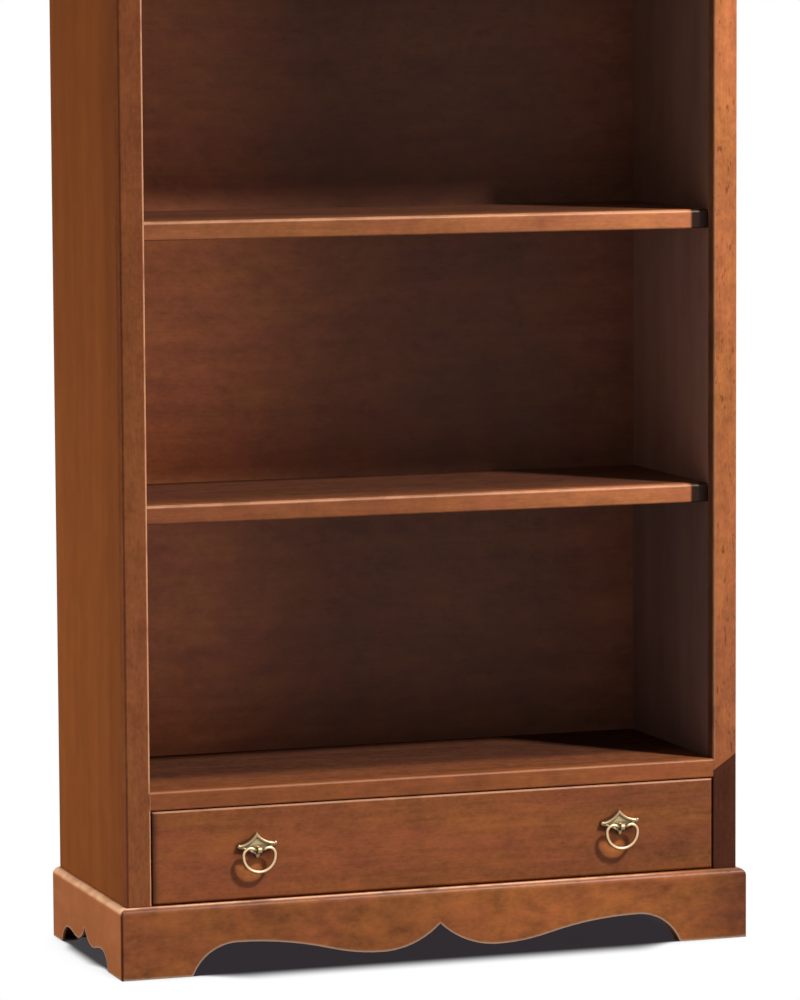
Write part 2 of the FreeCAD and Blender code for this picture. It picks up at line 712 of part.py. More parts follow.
# ---------------------------------------------------------------- ring pulls

def pull_plate(hand):
    """A back plate with a high point, two upturned tips and a small drop, and the ear for the ring."""
    x = f"{hand}_pull_x"
    body = new_body(f"{hand}_plate_body")

    def at(distance, height):
        return f"{x} + ({distance})", f"pull_z + ({height})"
    sketch = outline(new_sketch(body, f"{hand}_plate_sketch", "XZ_Plane", "-(front_y)"), [
        (*at("0", "plate_apex"), -1, "brow_bow"),
        (*at("-plate_half", "tip_top"), -1, "brow_bow"),
        at("-plate_half", "tip_low"),
        (*at("-drop_half", "-drop_root"), -1, "wing_bow"),
        at("0", "-drop_end"),
        at("drop_half", "-drop_root"),
        (*at("plate_half", "tip_low"), -1, "wing_bow"),
        at("plate_half", "tip_top"),
    ])
    pad = feature(body, "Pad", f"{hand}_plate_pad", sketch, "plate_thickness")
    doc.recompute()
    front = pad.Shape.BoundBox.YMin
    faces = [f"Face{number}" for number, face in enumerate(pad.Shape.Faces, start=1)
             if abs(face.BoundBox.YMax - front) < TOUCHING]
    bevel = body.newObject("PartDesign::Chamfer", f"{hand}_plate_bevel")
    bevel.Base = (pad, faces)
    bind(bevel, "Size", "plate_bevel")
    body.Tip = bevel
    ear = outline(new_sketch(body, f"{hand}_ear_sketch", "YZ_Plane", x), [
        ("front_y - plate_thickness/2", "pull_z - ear_radius"),
        ("front_y - plate_thickness/2", "pull_z + ear_radius"),
        ("front_y - pull_reach", "pull_z + ear_radius"),
        ("front_y - pull_reach - ear_radius", "pull_z", 1, "ear_radius"),
        ("front_y - pull_reach", "pull_z - ear_radius", 1, "ear_radius"),
    ])
    feature(body, "Pad", f"{hand}_ear_pad", ear, "ear_width", symmetric=True)
    eye = new_sketch(body, f"{hand}_eye_sketch", "YZ_Plane", x)
    full_circle(eye, "front_y - pull_reach", "pull_z", "wire_radius + eye_gap")
    feature(body, "Pocket", f"{hand}_eye", eye, "ear_width + cutter_margin", symmetric=True)
    return body


def full_circle(sketch, across, up, radius):
    """A full circle in a sketch."""
    centre = FreeCAD.Vector(value(across), value(up), 0)
    sketch.addGeometry(Part.Circle(centre, FreeCAD.Vector(0, 0, 1), value(radius)), False)
    fix(sketch, "DistanceX", -1, 1, 0, 3, text=across)
    fix(sketch, "DistanceY", -1, 1, 0, 3, text=up)
    fix(sketch, "Radius", 0, text=radius)
    return sketch


def pull_ring(hand):
    """A ring that dips to pass through its eye, bent from round wire."""
    x = f"{hand}_pull_x"
    body = new_body(f"{hand}_ring_body")

    def at(distance, height):
        return f"{x} + ({distance})", f"pull_z + ({height})"
    path = outline(new_sketch(body, f"{hand}_ring_path", "XZ_Plane", "pull_reach - (front_y)"), [
        (*at("-dip_half", "0"), 1, "dip_radius"),
        at("dip_half", "0"),
        (*at("bend_x", "bend_z"), 1, "dip_radius"),
        (*at("bend_x + shoulder*sin(dip_angle)", "shoulder_z + shoulder"), -1, "shoulder"),
        (*at("ring_half", "shoulder_z"), -1, "shoulder"),
        at("ring_half", "belly_z"),
        (*at("0", "ring_low"), -1, "ring_half"),
        (*at("-ring_half", "belly_z"), -1, "ring_half"),
        at("-ring_half", "shoulder_z"),
        (*at("-(bend_x + shoulder*sin(dip_angle))", "shoulder_z + shoulder"), -1, "shoulder"),
        (*at("-(bend_x)", "bend_z"), -1, "shoulder"),
    ])
    section = new_sketch(body, f"{hand}_ring_section", "YZ_Plane", x)
    full_circle(section, "front_y - pull_reach", "pull_z + ring_low", "wire_radius")
    doc.recompute()
    pipe = body.newObject("PartDesign::AdditivePipe", f"{hand}_ring_pipe")
    pipe.Profile = section
    pipe.Spine = path
    body.Tip = pipe
    return node(body, f"{hand}_pull_ring")


def pull_bolt(hand):
    """A pan-headed bolt from inside the drawer into the back plate, and its clearance hole."""
    x = f"{hand}_pull_x"
    z = "pull_z + bolt_z"
    body = new_body(f"{hand}_bolt_body")
    sketch = outline(new_sketch(body, f"{hand}_bolt_sketch", "YZ_Plane", x), [
        ("bolt_end", z),
        ("drawer_front_back + bolt_head_depth", z),
        ("drawer_front_back + bolt_head_depth", f"{z} + bolt_head/2"),
        ("drawer_front_back", f"{z} + bolt_head"),
        ("drawer_front_back", f"{z} + bolt_radius"),
        ("bolt_end", f"{z} + bolt_radius"),
    ])
    turned = body.newObject("PartDesign::Revolution", f"{hand}_bolt_turned")
    turned.Profile = sketch
    turned.ReferenceAxis = (sketch, ["Edge2"])
    body.Tip = turned
    hole = doc.addObject("Part::Cylinder", f"{hand}_bolt_hole")
    bind(hole, "Radius", "bolt_radius + bolt_gap")
    bind(hole, "Height", "drawer_front_depth")
    hole.Placement.Rotation = FreeCAD.Rotation(ALONG_Z, FreeCAD.Vector(0, 1, 0))
    for direction, text in zip("xyz", (x, "front_y", z)):
        bind(hole, f"Placement.Base.{direction}", text)
    return node(body, f"{hand}_pull_bolt"), hole


# ---------------------------------------------------------------- assembly

floor_board, top_board = floor_and_top()
back = back_panel()
shelves = [shelf(number) for number in SHELVES]
runner_screws, bearer_screws = drawer_carriage(floor_board)
for hand in HANDS:
    side_panel(hand, [floor_board, top_board, back, *shelves, runner_screws, bearer_screws])
frame = front_frame()
front_rails(frame)
node(stile(LEFT, frame), "left_stile")
right_stile(frame)
cornice()
plinth_front()
plinth_side(LEFT)
plinth_side(RIGHT)
plinth_inside()
bolt_holes = []
for hand in HANDS:
    bolt, hole = pull_bolt(hand)
    bolt_holes.append(hole)
    node(cut(f"{hand}_plate_cut", pull_plate(hand), bolt), f"{hand}_pull_plate")
    pull_ring(hand)
drawer(bolt_holes)
doc.recompute()

for item in doc.Objects:
    if {"Invalid", "Error"} & set(item.State):
        raise RuntimeError(f"{item.Name} did not compute: {item.State}")
for item in NODES:
    if item.Shape.isNull() or not item.Shape.isValid() or not item.Shape.Solids:
        raise RuntimeError(f"{item.Label} has no valid solid")

os.makedirs("parts", exist_ok=True)
for item in NODES:
    item.Shape.exportStep(f"parts/{item.Label}.step")
    box = item.Shape.BoundBox
    print(f"{item.Label:24s} solids {len(item.Shape.Solids)}  volume {item.Shape.Volume:13.1f} mm3")
    print(f"    x {box.XMin:8.2f} {box.XMax:8.2f}  y {box.YMin:8.2f} {box.YMax:8.2f}"
          f"  z {box.ZMin:8.2f} {box.ZMax:8.2f}")
print(len(NODES), "nodes")
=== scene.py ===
# %% [markdown]
# # Finishing a bookcase
# The bookcase comes as a frame of separate, named boards and fittings, each already at its real
# size and place. This lesson gives them their looks: stained wood whose grain runs the right way on
# each board, aged brass for the pulls, and soft studio light. Each board could be painted by hand,
# but they differ only in tone, grain and wear, so one recipe for wood with a few settings for each
# board keeps them alike. The first step loads the frame.

import json
import math

import bmesh
import bpy
from mathutils import Euler, Matrix, Vector


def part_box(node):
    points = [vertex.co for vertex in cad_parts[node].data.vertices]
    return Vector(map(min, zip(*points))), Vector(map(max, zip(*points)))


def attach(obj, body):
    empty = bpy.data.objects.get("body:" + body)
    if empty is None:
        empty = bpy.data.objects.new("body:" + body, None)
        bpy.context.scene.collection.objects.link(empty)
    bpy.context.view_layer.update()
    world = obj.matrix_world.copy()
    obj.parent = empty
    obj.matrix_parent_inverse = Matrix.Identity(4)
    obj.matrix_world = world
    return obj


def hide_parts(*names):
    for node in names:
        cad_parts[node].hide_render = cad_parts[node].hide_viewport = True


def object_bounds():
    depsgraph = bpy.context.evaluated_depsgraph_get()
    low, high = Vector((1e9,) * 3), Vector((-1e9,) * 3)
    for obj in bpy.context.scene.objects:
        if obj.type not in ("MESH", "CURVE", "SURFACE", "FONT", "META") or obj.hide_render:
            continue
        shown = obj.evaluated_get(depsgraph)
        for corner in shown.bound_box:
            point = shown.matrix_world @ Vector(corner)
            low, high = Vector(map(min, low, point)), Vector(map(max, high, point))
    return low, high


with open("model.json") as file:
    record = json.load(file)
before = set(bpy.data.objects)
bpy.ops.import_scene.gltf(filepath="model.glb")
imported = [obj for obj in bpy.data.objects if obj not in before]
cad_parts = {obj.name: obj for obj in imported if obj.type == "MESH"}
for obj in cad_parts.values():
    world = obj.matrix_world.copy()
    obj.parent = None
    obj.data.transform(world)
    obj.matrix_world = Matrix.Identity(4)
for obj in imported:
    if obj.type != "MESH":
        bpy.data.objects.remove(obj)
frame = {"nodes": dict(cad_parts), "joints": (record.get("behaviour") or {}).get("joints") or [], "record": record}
nodes = frame["nodes"]
slot_of_node = {row["node"]: row["material_slot"] for row in frame["record"]["subparts"]}
cad_low, cad_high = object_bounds()

# %% [markdown]
# ## Camera
# A bookcase looks best nearly upright, with one side just in sight. A short lens close by would make
# the uprights lean, so a long one stands well back. It is aimed in three turns: round the vertical,
# down, and last a hair about its own line of sight. No lens shift is used, so any other view that
# borrows this camera stays centred.

# %% Place the camera
CAMERA_PLACE = (-2.3305, -6.8034, 1.3835)
CAMERA_TURN = math.radians(-18.931)
CAMERA_TIP = math.radians(90 - 6.008)
CAMERA_ROLL = math.radians(-0.315)
CAMERA_LENS = 184.1

camera = bpy.data.objects.new("camera", bpy.data.cameras.new("camera"))
bpy.context.scene.collection.objects.link(camera)
camera.data.lens = CAMERA_LENS
aim = Euler((CAMERA_TIP, 0, CAMERA_TURN)).to_matrix() @ Matrix.Rotation(CAMERA_ROLL, 3, "Z")
camera.matrix_world = Matrix.Translation(CAMERA_PLACE) @ aim.to_4x4()
bpy.context.scene.camera = camera
print("camera", round((camera.location - (cad_low + cad_high)/2).length, 2), "m from the middle")

# %% [markdown]
# ## Helpers for nodes
# Every finish below is a small graph of nodes. Drawn in the editor such graphs soon repeat
# themselves, so a few helpers write them. The first adds a node: keyword values that are sockets are
# linked, and the rest are typed in. The next are the few nodes that are used over and over, each
# returning the socket that another one needs, and the last two give a colour its alpha and start a
# material.

# %% Nodes, sums and blends
def add(tree, kind, settings=None, **inputs):
    node = tree.nodes.new("ShaderNode" + kind)
    for name, setting in (settings or {}).items():
        setattr(node, name, setting)
    for name, given in inputs.items():
        index = int(name[1:]) if name[0] == "_" else name.replace("_", " ")
        socket = node.inputs[index]
        if isinstance(given, bpy.types.NodeSocket):
            tree.links.new(given, socket)
        else:
            socket.default_value = given
    return node


def reckon(tree, operation, first, second=0.0, third=0.0, clamp=False):
    settings = {"operation": operation, "use_clamp": clamp}
    return add(tree, "Math", settings, _0=first, _1=second, _2=third).outputs[0]


def spread(tree, fac, low, high, to_low=0.0, to_high=1.0):
    """Goes smoothly from one value to another while the factor goes from low to high."""
    made = add(tree, "MapRange", {"interpolation_type": "SMOOTHSTEP"}, Value=fac, From_Min=low,
               From_Max=high, To_Min=to_low, To_Max=to_high)
    return made.outputs["Result"]


def blend_colour(tree, way, fac, first, second):
    settings = {"data_type": "RGBA", "blend_type": way, "clamp_factor": True}
    return add(tree, "Mix", settings, _0=fac, _6=first, _7=second).outputs[2]


def rgba(colour):
    return (*colour, 1.0)


def new_material(name):
    material = bpy.data.materials.new(name)
    material.use_nodes = True
    return material, material.node_tree, material.node_tree.nodes["Principled BSDF"]


print("made helpers for nodes: add, reckon, spread, blend_colour, rgba, new_material")

# %% [markdown]
# ## Where a point lies
# A pattern that is fixed to the picture or to the view would swim when the drawer slides. These
# helpers read only the place of a point in its own board and the way the surface faces there, so
# grain, wear and grime go along with the piece.

# %% Places and directions
def place_on(tree):
    return add(tree, "TexCoord").outputs["Object"]


def split(tree, vector):
    return add(tree, "SeparateXYZ", Vector=vector).outputs


def away_from(tree, centre):
    """The distance from a centre."""
    made = add(tree, "VectorMath", {"operation": "DISTANCE"}, _0=place_on(tree), _1=centre)
    return made.outputs["Value"]


def dot(tree, first, second):
    """How nearly two directions agree."""
    made = add(tree, "VectorMath", {"operation": "DOT_PRODUCT"}, _0=first, _1=second)
    return made.outputs["Value"]


def facing_of(tree):
    """How squarely the surface faces along each axis, either way."""
    normal = add(tree, "TexCoord").outputs["Normal"]
    return split(tree, add(tree, "VectorMath", {"operation": "ABSOLUTE"}, _0=normal).outputs[0])


def rounded(tree, radius, samples):
    """The direction that the surface would face if its edges were rounded."""
    return add(tree, "Bevel", {"samples": samples}, Radius=radius).outputs["Normal"]


def openness(tree, reach, samples):
    """One where nothing stands near, and less in corners and hollows."""
    return add(tree, "AmbientOcclusion", {"samples": samples}, Distance=reach).outputs["AO"]


def noise(tree, place, stretch, detail=2.0, roughness=0.5):
    scaled = add(tree, "VectorMath", {"operation": "MULTIPLY"}, _0=place, _1=stretch).outputs[0]
    made = add(tree, "TexNoise", Vector=scaled, Scale=1.0, Detail=detail, Roughness=roughness)
    return made.outputs["Fac"]


print("made helpers for places: place_on, split, away_from, dot, facing_of, rounded, openness, noise")

# %% [markdown]
# ## The figure of the wood
# The boards are stained and waxed, so their contrast is low. Six layers of noise make the figure,
# each stretched along the grain: wide ribbons, streaks, soft blotches and mottles where the stain
# took unevenly, small speckles and fine fibres. A flat picture of wood would need a seam at every
# edge. This pattern is solid: it is worked out in space, so a streak runs on round an edge. A mapping
# turns it to the board's own grain and shifts it, so no two boards match. Each row below holds how
# often a layer changes per metre along and across the grain, how detailed it is, and how much it
# lightens or darkens the stain.

# %% Figure layers
GRAIN_TURN = {"X": (0, 0, 0), "Y": (0, 0, -math.pi/2), "Z": (0, math.pi/2, 0)}
SHIFT_STEP = (1.37, 0.61, 0.83)
LAYERS = {
    "ribbon": (1.3, 24, 2, 0.55),
    "streak": (6, 105, 3, 0.50),
    "blotch": (17, 28, 2, 0.80),
    "mottle": (50, 65, 2, 0.70),
    "speckle": (130, 230, 2, 0.75),
    "fibre": (24, 640, 2, 0.40),
}
LAYER_ROUGHNESS = 0.6
WANDER = (0, 0.03, 0.03)
WANDER_SCALE = 2.2


def figure_of(tree, turned, strengths):
    """Where each point lies in the grain, how light its stain is, and the layers of that."""
    drift = add(tree, "TexNoise", Vector=turned, Scale=WANDER_SCALE, Detail=1.0).outputs["Color"]
    place = add(tree, "VectorMath", {"operation": "MULTIPLY_ADD"}, _0=drift, _1=WANDER,
                _2=turned).outputs[0]
    layers = {}
    total = 1.0
    for name, (along, across, detail, weight) in LAYERS.items():
        layers[name] = noise(tree, place, (along, across, across), detail, LAYER_ROUGHNESS)
        centred = reckon(tree, "SUBTRACT", layers[name], 0.5)
        total = reckon(tree, "MULTIPLY_ADD", centred, weight*strengths.get(name, 1.0), total)
    return place, total, layers


print("the figure has", len(LAYERS), "layers:", *LAYERS)

# %% [markdown]
# ## Fades
# Wax yellows one face of a board and the inside of a case stays dull. Many of the fades below also paint light and
# shade: a board is lighter where light falls on it and darker where shade falls. A mask painted by hand would do
# for one board, but here a fade is a row of numbers: an axis, the places along it, in metres, where the fade
# begins and is complete, and the colour that multiplies the stain there. Further axes with two places of their own
# can limit it to one face or to one opening between the shelves.

# %% Fades along an axis
def faded(tree, colour, fades):
    along = split(tree, place_on(tree))
    for axis, near, far, factor, *limits in fades:
        share = spread(tree, along[axis], near, far)
        for limit_axis, limit_near, limit_far in limits:
            limit = spread(tree, along[limit_axis], limit_near, limit_far)
            share = reckon(tree, "MULTIPLY", share, limit)
        colour = blend_colour(tree, "MULTIPLY", share, colour, rgba(factor))
    return colour


print("a fade is a row of axis, near, far, colour and any limits")

# %% [markdown]
# ## Round the pulls
# The golden patch round each pull is painted light: the glow that the brass ring throws back onto the drawer.
# Painted shade darkens the drawer close to the plate. The patch is a soft ball of distance broken up by the
# mottles. The shade needs no mask of its own: ambient occlusion finds the narrow place where the plate and the
# drawer meet.

# %% Painted glow and shade round the pulls
# A painted glow of light thrown back by the ring.
RING_GLOW = (0.58, 0.185, 0.050)
RING_GLOW_REACH = 0.029
RING_GLOW_CORE = 0.4
RING_GLOW_BREAKS = (0.30, 0.55, 0.45, 0.85)
# Painted shade close to the plate, found by ambient occlusion.
PLATE_SHADE = (0.22, 0.15, 0.12)
PLATE_SHADE_REACH = 0.020
PLATE_SHADE_HOLLOW = (0.94, 0.55)
PLATE_SHADE_EDGE = (1.7*RING_GLOW_REACH, 1.3*RING_GLOW_REACH)


def ring_glow_and_plate_shade(tree, colour, centre, mottle):
    """The colour with the painted glow that the ring throws back, and painted shade beside the plate."""
    away = away_from(tree, centre)
    rub = reckon(tree, "MULTIPLY", spread(tree, away, RING_GLOW_REACH, RING_GLOW_CORE*RING_GLOW_REACH),
                 spread(tree, mottle, *RING_GLOW_BREAKS))
    colour = blend_colour(tree, "MIX", rub, colour, rgba(RING_GLOW))
    hollow = spread(tree, openness(tree, PLATE_SHADE_REACH, samples=12), *PLATE_SHADE_HOLLOW)
    plate_shade = reckon(tree, "MULTIPLY", hollow, spread(tree, away, *PLATE_SHADE_EDGE))
    return blend_colour(tree, "MULTIPLY", plate_shade, colour, rgba(PLATE_SHADE))


print("rubbed within", 1000*RING_GLOW_REACH, "mm of a pull")

# %% [markdown]
# ## Stain, flecks and end grain
# The stain leans to red in some places and to gold in others. Short dark flecks sit on top, and end
# grain drinks more stain, so it is darker wherever a board faces along its own grain. All of it is
# worked out from the place and the facing, which saves a separate material for the ends.

# %% Stained wood
REDDISH = (0.96, 0.90, 1.02)
GOLDEN = (1.04, 1.08, 0.94)
PATCH, PATCH_EDGE, LEAN = (7, 26, 26), (0.34, 0.66), 0.7
FLECK, FLECKED = (0.42, 0.34, 0.32), 0.4
FLECK_SIZE, FLECK_EDGE = (60, 250, 250), (0.60, 0.72)
END_GRAIN = (0.60, 0.55, 0.52)
END_FACING = (0.6, 0.9)


def stained(tree, grain, number, tone, habit):
    """The colour of the stained wood, and the layers and flecks that its surface needs."""
    turned = add(tree, "Mapping", Vector=place_on(tree), Rotation=GRAIN_TURN[grain],
                 Location=[step*number for step in SHIFT_STEP]).outputs["Vector"]
    place, lightness, layers = figure_of(tree, turned, habit.get("strengths", {}))
    patches = noise(tree, place, habit.get("patch", PATCH), detail=3)
    hue = blend_colour(tree, "MIX", spread(tree, patches, *PATCH_EDGE), rgba(REDDISH), rgba(GOLDEN))
    colour = blend_colour(tree, "MULTIPLY", habit.get("lean", LEAN), rgba(tone), hue)
    colour = blend_colour(tree, "MULTIPLY", 1.0, colour, lightness)
    colour = faded(tree, colour, habit.get("fades", ()))
    for centre in habit.get("rubbed", ()):
        colour = ring_glow_and_plate_shade(tree, colour, centre, layers["mottle"])
    flecks = spread(tree, noise(tree, place, FLECK_SIZE, roughness=LAYER_ROUGHNESS), *FLECK_EDGE)
    dark = reckon(tree, "MULTIPLY", flecks, habit.get("fleck", FLECKED))
    colour = blend_colour(tree, "MULTIPLY", dark, colour, rgba(FLECK))
    end = spread(tree, facing_of(tree)[grain], *END_FACING)
    return blend_colour(tree, "MULTIPLY", end, colour, rgba(END_GRAIN)), layers, flecks


print("the stain leans from", REDDISH, "to", GOLDEN)

# %% [markdown]
# ## Worn edges and painted highlights
# Hands and dusters wear the stain thin along the edges that they reach. The same pale colour also paints the
# highlight that an eased edge or a quarter round would catch from the light, so edges facing up or towards the
# opening are lighter still. The lower edge of the plinth has been scuffed to bare grey wood. Chamfers with a
# material of their own would show this, but they would change the boards. Instead a Bevel node gives the direction
# that a rounded edge would face, and where it differs from the true one there is an edge. A quarter round is found
# the other way: it faces between two axes of the board. Each board says which way its worn and highlighted edges
# face, how bare and bright they are, how little is worn at the least, and beyond which distance the wear and
# highlight die away.

# %% Edges
UPWARD, DOWNWARD, LEFTWARD, RIGHTWARD = (0, 0, 1), (0, 0, -1), (-1, 0, 0), (1, 0, 0)
# The pale edge colour is partly bare wood and partly a painted highlight where edges catch the light.
BARE_AND_GLINT_EDGE = (0.78, 0.40, 0.22)
GLINT_AND_WEAR_REACH, GLINT_AND_WEAR_BEND = 0.0030, (0.990, 0.930)
QUARTER_ROUND = (0.998, 0.97)
GLINT_AND_WEAR_FROM = (0.06, 0.45)
GLINT_AND_WEAR_BREAKS, LEAST_GLINT_AND_WEAR, GLINT_AND_WEAR_LEFT = (0.36, 0.52), 0.6, 0.12
SCUFFED = (0.40, 0.29, 0.21)
SCUFF_REACH, SCUFF_BEND, SCUFF_FROM = 0.0065, (0.985, 0.90), (0.08, 0.25)


def glint_and_wear_of(tree, bevelled, flat, patchy, habit):
    """How much each point is worn or carries a painted highlight: on edges and quarter rounds, and more in some
    patches.
    """
    edge = spread(tree, dot(tree, bevelled, flat), *GLINT_AND_WEAR_BEND)
    facing = facing_of(tree)
    squarest = reckon(tree, "MAXIMUM", reckon(tree, "MAXIMUM", facing["X"], facing["Y"]), facing["Z"])
    glint_and_wear = reckon(tree, "MAXIMUM", edge, spread(tree, squarest, *QUARTER_ROUND))
    shares = [spread(tree, dot(tree, bevelled, habit.get("glint_and_wear_side", UPWARD)),
                     *habit.get("glint_and_wear_from", GLINT_AND_WEAR_FROM)),
              spread(tree, patchy, *GLINT_AND_WEAR_BREAKS, habit.get("least", LEAST_GLINT_AND_WEAR), 1.0)]
    if "glint_and_wear_until" in habit:
        axis, near, far = habit["glint_and_wear_until"]
        shares.append(spread(tree, split(tree, place_on(tree))[axis], near, far, 1.0, GLINT_AND_WEAR_LEFT))
    for share in shares:
        glint_and_wear = reckon(tree, "MULTIPLY", glint_and_wear, share)
    return reckon(tree, "MULTIPLY", glint_and_wear, habit["glint_and_wear"])


def worn_and_glinting(tree, colour, patchy, habit):
    """The colour with its edges rubbed and painted with a highlight, and with the lower ones scuffed where the
    habit says so.
    """
    flat = add(tree, "NewGeometry").outputs["True Normal"]
    glint_and_wear = glint_and_wear_of(tree, rounded(tree, GLINT_AND_WEAR_REACH, samples=4), flat, patchy, habit)
    colour = blend_colour(tree, "MIX", glint_and_wear, colour, rgba(habit.get("bare_and_glint", BARE_AND_GLINT_EDGE)))
    if habit.get("scuff"):
        eased = rounded(tree, SCUFF_REACH, samples=6)
        rim = spread(tree, dot(tree, eased, flat), *SCUFF_BEND)
        under = spread(tree, dot(tree, eased, DOWNWARD), *SCUFF_FROM)
        scuff = reckon(tree, "MULTIPLY", reckon(tree, "MULTIPLY", rim, under), habit["scuff"])
        colour = blend_colour(tree, "MIX", scuff, colour, rgba(SCUFFED))
    return colour


print("edges are worn within", 1000*GLINT_AND_WEAR_REACH, "mm and scuffed within", 1000*SCUFF_REACH, "mm")

# %% [markdown]
# ## Joint lines
# Where two boards meet, stain and wax have gathered in a narrow dark line. The joint itself is closed,
# so there is no gap to catch a shadow, and the line is drawn in the stain as a band at one distance
# along an axis.

# %% Joints
JOINT_DARK = (0.22, 0.16, 0.15)
JOINT_CORE = 0.3


def jointed(tree, colour, joints):
    """The colour with its joint lines, each an axis, a distance, a half width and a strength."""
    along = split(tree, place_on(tree))
    for axis, distance, half, strength in joints:
        away = reckon(tree, "ABSOLUTE", reckon(tree, "SUBTRACT", along[axis], distance))
        line = spread(tree, away, half, JOINT_CORE*half, 0.0, strength)
        colour = blend_colour(tree, "MULTIPLY", line, colour, rgba(JOINT_DARK))
    return colour


print("joint lines keep", JOINT_DARK, "of the stain")

# %% [markdown]
# ## The waxed surface
# Wax leaves a satin shine. How strongly the surface mirrors is one number for each board, because
# the broad outer faces are dull and only the mouldings and the drawer have been polished. A second
# Bevel node eases every edge that is left square, and the fibres and flecks give a faint relief. Both
# are too fine to be worth cutting into the boards.

# %% Timber
EASED_EDGE = 0.0010
SATIN, SATIN_PATCHES, FLECK_DULLNESS = 0.28, 0.20, 0.15
SHINE = 0.15
FIBRE_RELIEF, FLECK_RELIEF = 0.35, -0.3
RELIEF_STRENGTH, RELIEF_DEPTH = 0.35, 0.0003


def timber(name, grain, number, tone, habit):
    material, tree, shader = new_material(name)
    colour, layers, flecks = stained(tree, grain, number, tone, habit)
    if "glint_and_wear" in habit:
        colour = worn_and_glinting(tree, colour, layers["blotch"], habit)
    colour = jointed(tree, colour, habit.get("joints", ()))
    tree.links.new(colour, shader.inputs["Base Color"])
    satin = reckon(tree, "MULTIPLY_ADD", layers["blotch"], SATIN_PATCHES, SATIN)
    satin = reckon(tree, "MULTIPLY_ADD", flecks, FLECK_DULLNESS, satin)
    tree.links.new(satin, shader.inputs["Roughness"])
    shader.inputs["Specular IOR Level"].default_value = habit.get("shine", SHINE)
    relief = reckon(tree, "MULTIPLY", flecks, FLECK_RELIEF)
    relief = reckon(tree, "MULTIPLY_ADD", layers["fibre"], FIBRE_RELIEF, relief)
    bumped = add(tree, "Bump", Strength=RELIEF_STRENGTH, Distance=RELIEF_DEPTH, Height=relief,
                 Normal=rounded(tree, EASED_EDGE, samples=4))
    tree.links.new(bumped.outputs["Normal"], shader.inputs["Normal"])
    return material


print("edges are eased by", 1000*EASED_EDGE, "mm")

# %% [markdown]
# ## Tones
# One stain on several woods: a reddish brown for the most part, and redder and darker where a board has drunk more
# of it. The shelves and the floor of the case are darker still with painted shade. The corner blocks inside the
# plinth are pale wood, but are painted nearly black as the shade there. The right stile is pieced from two
# lengths, the upper one a light orange and the lower one nearly the colour of bitter chocolate. What the stain
# never reached is bare pale wood. Each slot has a tone, and the few boards that differ from it have their own.

# %% Tones of the slots
TONES = {
    "carcass_wood": (0.217, 0.066, 0.0186),
    # The shelves are darker with painted shade.
    "shelf_wood": (0.090, 0.032, 0.017),
    "edge_wood": (0.222, 0.068, 0.023),
    "stile_wood": (0.225, 0.073, 0.028),
    "dark_wood": (0.064, 0.016, 0.006),
    "moulding_wood": (0.230, 0.069, 0.0192),
    "back_wood": (0.215, 0.082, 0.049),
    "drawer_wood": (0.218, 0.063, 0.0192),
    "pale_wood": (0.56, 0.39, 0.22),
}
OWN_TONES = {
    "top_panel": (0.205, 0.068, 0.028),
    # The floor of the case is darker with painted shade.
    "floor_panel": (0.072, 0.026, 0.014),
    # The corner blocks are pale wood, painted nearly black as the shade inside the plinth.
    "corner_blocks": (0.020, 0.010, 0.006),
    "floor_rail": (0.222, 0.063, 0.019),
    "shelf_2_edge": (0.246, 0.080, 0.027),
    "shelf_3_edge": (0.246, 0.080, 0.027),
    "right_stile_upper": (0.430, 0.138, 0.046),
    "plinth_left": (0.370, 0.126, 0.048),
}
print(len(TONES), "tones for slots and", len(OWN_TONES), "for single boards")

# %% [markdown]
# ## Habits of the slots
# A habit says how a kind of board took the stain and how it has aged: how strong each layer of its figure is, how
# far its colour leans, how many flecks it has, how worn its edges are and how much painted highlight they carry,
# and how it shines. The sides are plain and dull, the mouldings blotchy and scuffed, and the drawer is the
# liveliest board of all.

# %% Habits of the slots
HABITS = {
    "carcass_wood": dict(strengths=dict(ribbon=0.7, streak=0.15, blotch=0.3, mottle=0.1,
                                        speckle=0.1, fibre=0.2),
                         fleck=0.0, lean=0.4, shine=0.0),
    "shelf_wood": dict(strengths=dict(blotch=0.5), fleck=0.3, shine=0.06),
    "edge_wood": dict(strengths=dict(blotch=0.8, speckle=0.5, mottle=0.5), fleck=0.20, glint_and_wear=0.38),
    "stile_wood": dict(strengths=dict(ribbon=0.4, streak=0.5, blotch=0.5, mottle=0.6, speckle=0.7),
                       fleck=0.2, lean=0.6, glint_and_wear=0.60, shine=0.08),
    "dark_wood": dict(strengths=dict(blotch=0.6, mottle=0.6), fleck=0.3, shine=0.1),
    "moulding_wood": dict(strengths=dict(ribbon=0.5, streak=0.35, blotch=1.5, mottle=1.1,
                                         speckle=0.6, fibre=0.3),
                          patch=(14, 20, 20), lean=0.9, fleck=0.20, glint_and_wear=0.85,
                          glint_and_wear_from=(0.48, 0.82), least=0.45, scuff=0.95),
    "back_wood": dict(strengths=dict(ribbon=0.6, streak=0.6, blotch=0.8, mottle=0.55, speckle=0.4,
                                     fibre=0.3),
                      fleck=0.2, lean=0.7, shine=0.12),
    "drawer_wood": dict(strengths=dict(ribbon=1.3, streak=1.2, blotch=0.8, mottle=0.6,
                                       speckle=0.8),
                        patch=(5, 30, 30), lean=1.0, fleck=0.25, glint_and_wear=0.42,
                        glint_and_wear_from=(0.25, 0.60)),
    "pale_wood": dict(strengths=dict(blotch=0.3, ribbon=0.5), fleck=0.15, shine=0.1),
}
print("habits of", *HABITS)

# %% [markdown]
# ## Landmarks
# The fades and joint lines have to sit on real faces and corners. Typed distances would go wrong when the bookcase
# changes size, so they are measured on the boards of the frame. The joints tell where the rings turn, which is
# where the drawer carries the painted glow of light from its ring.

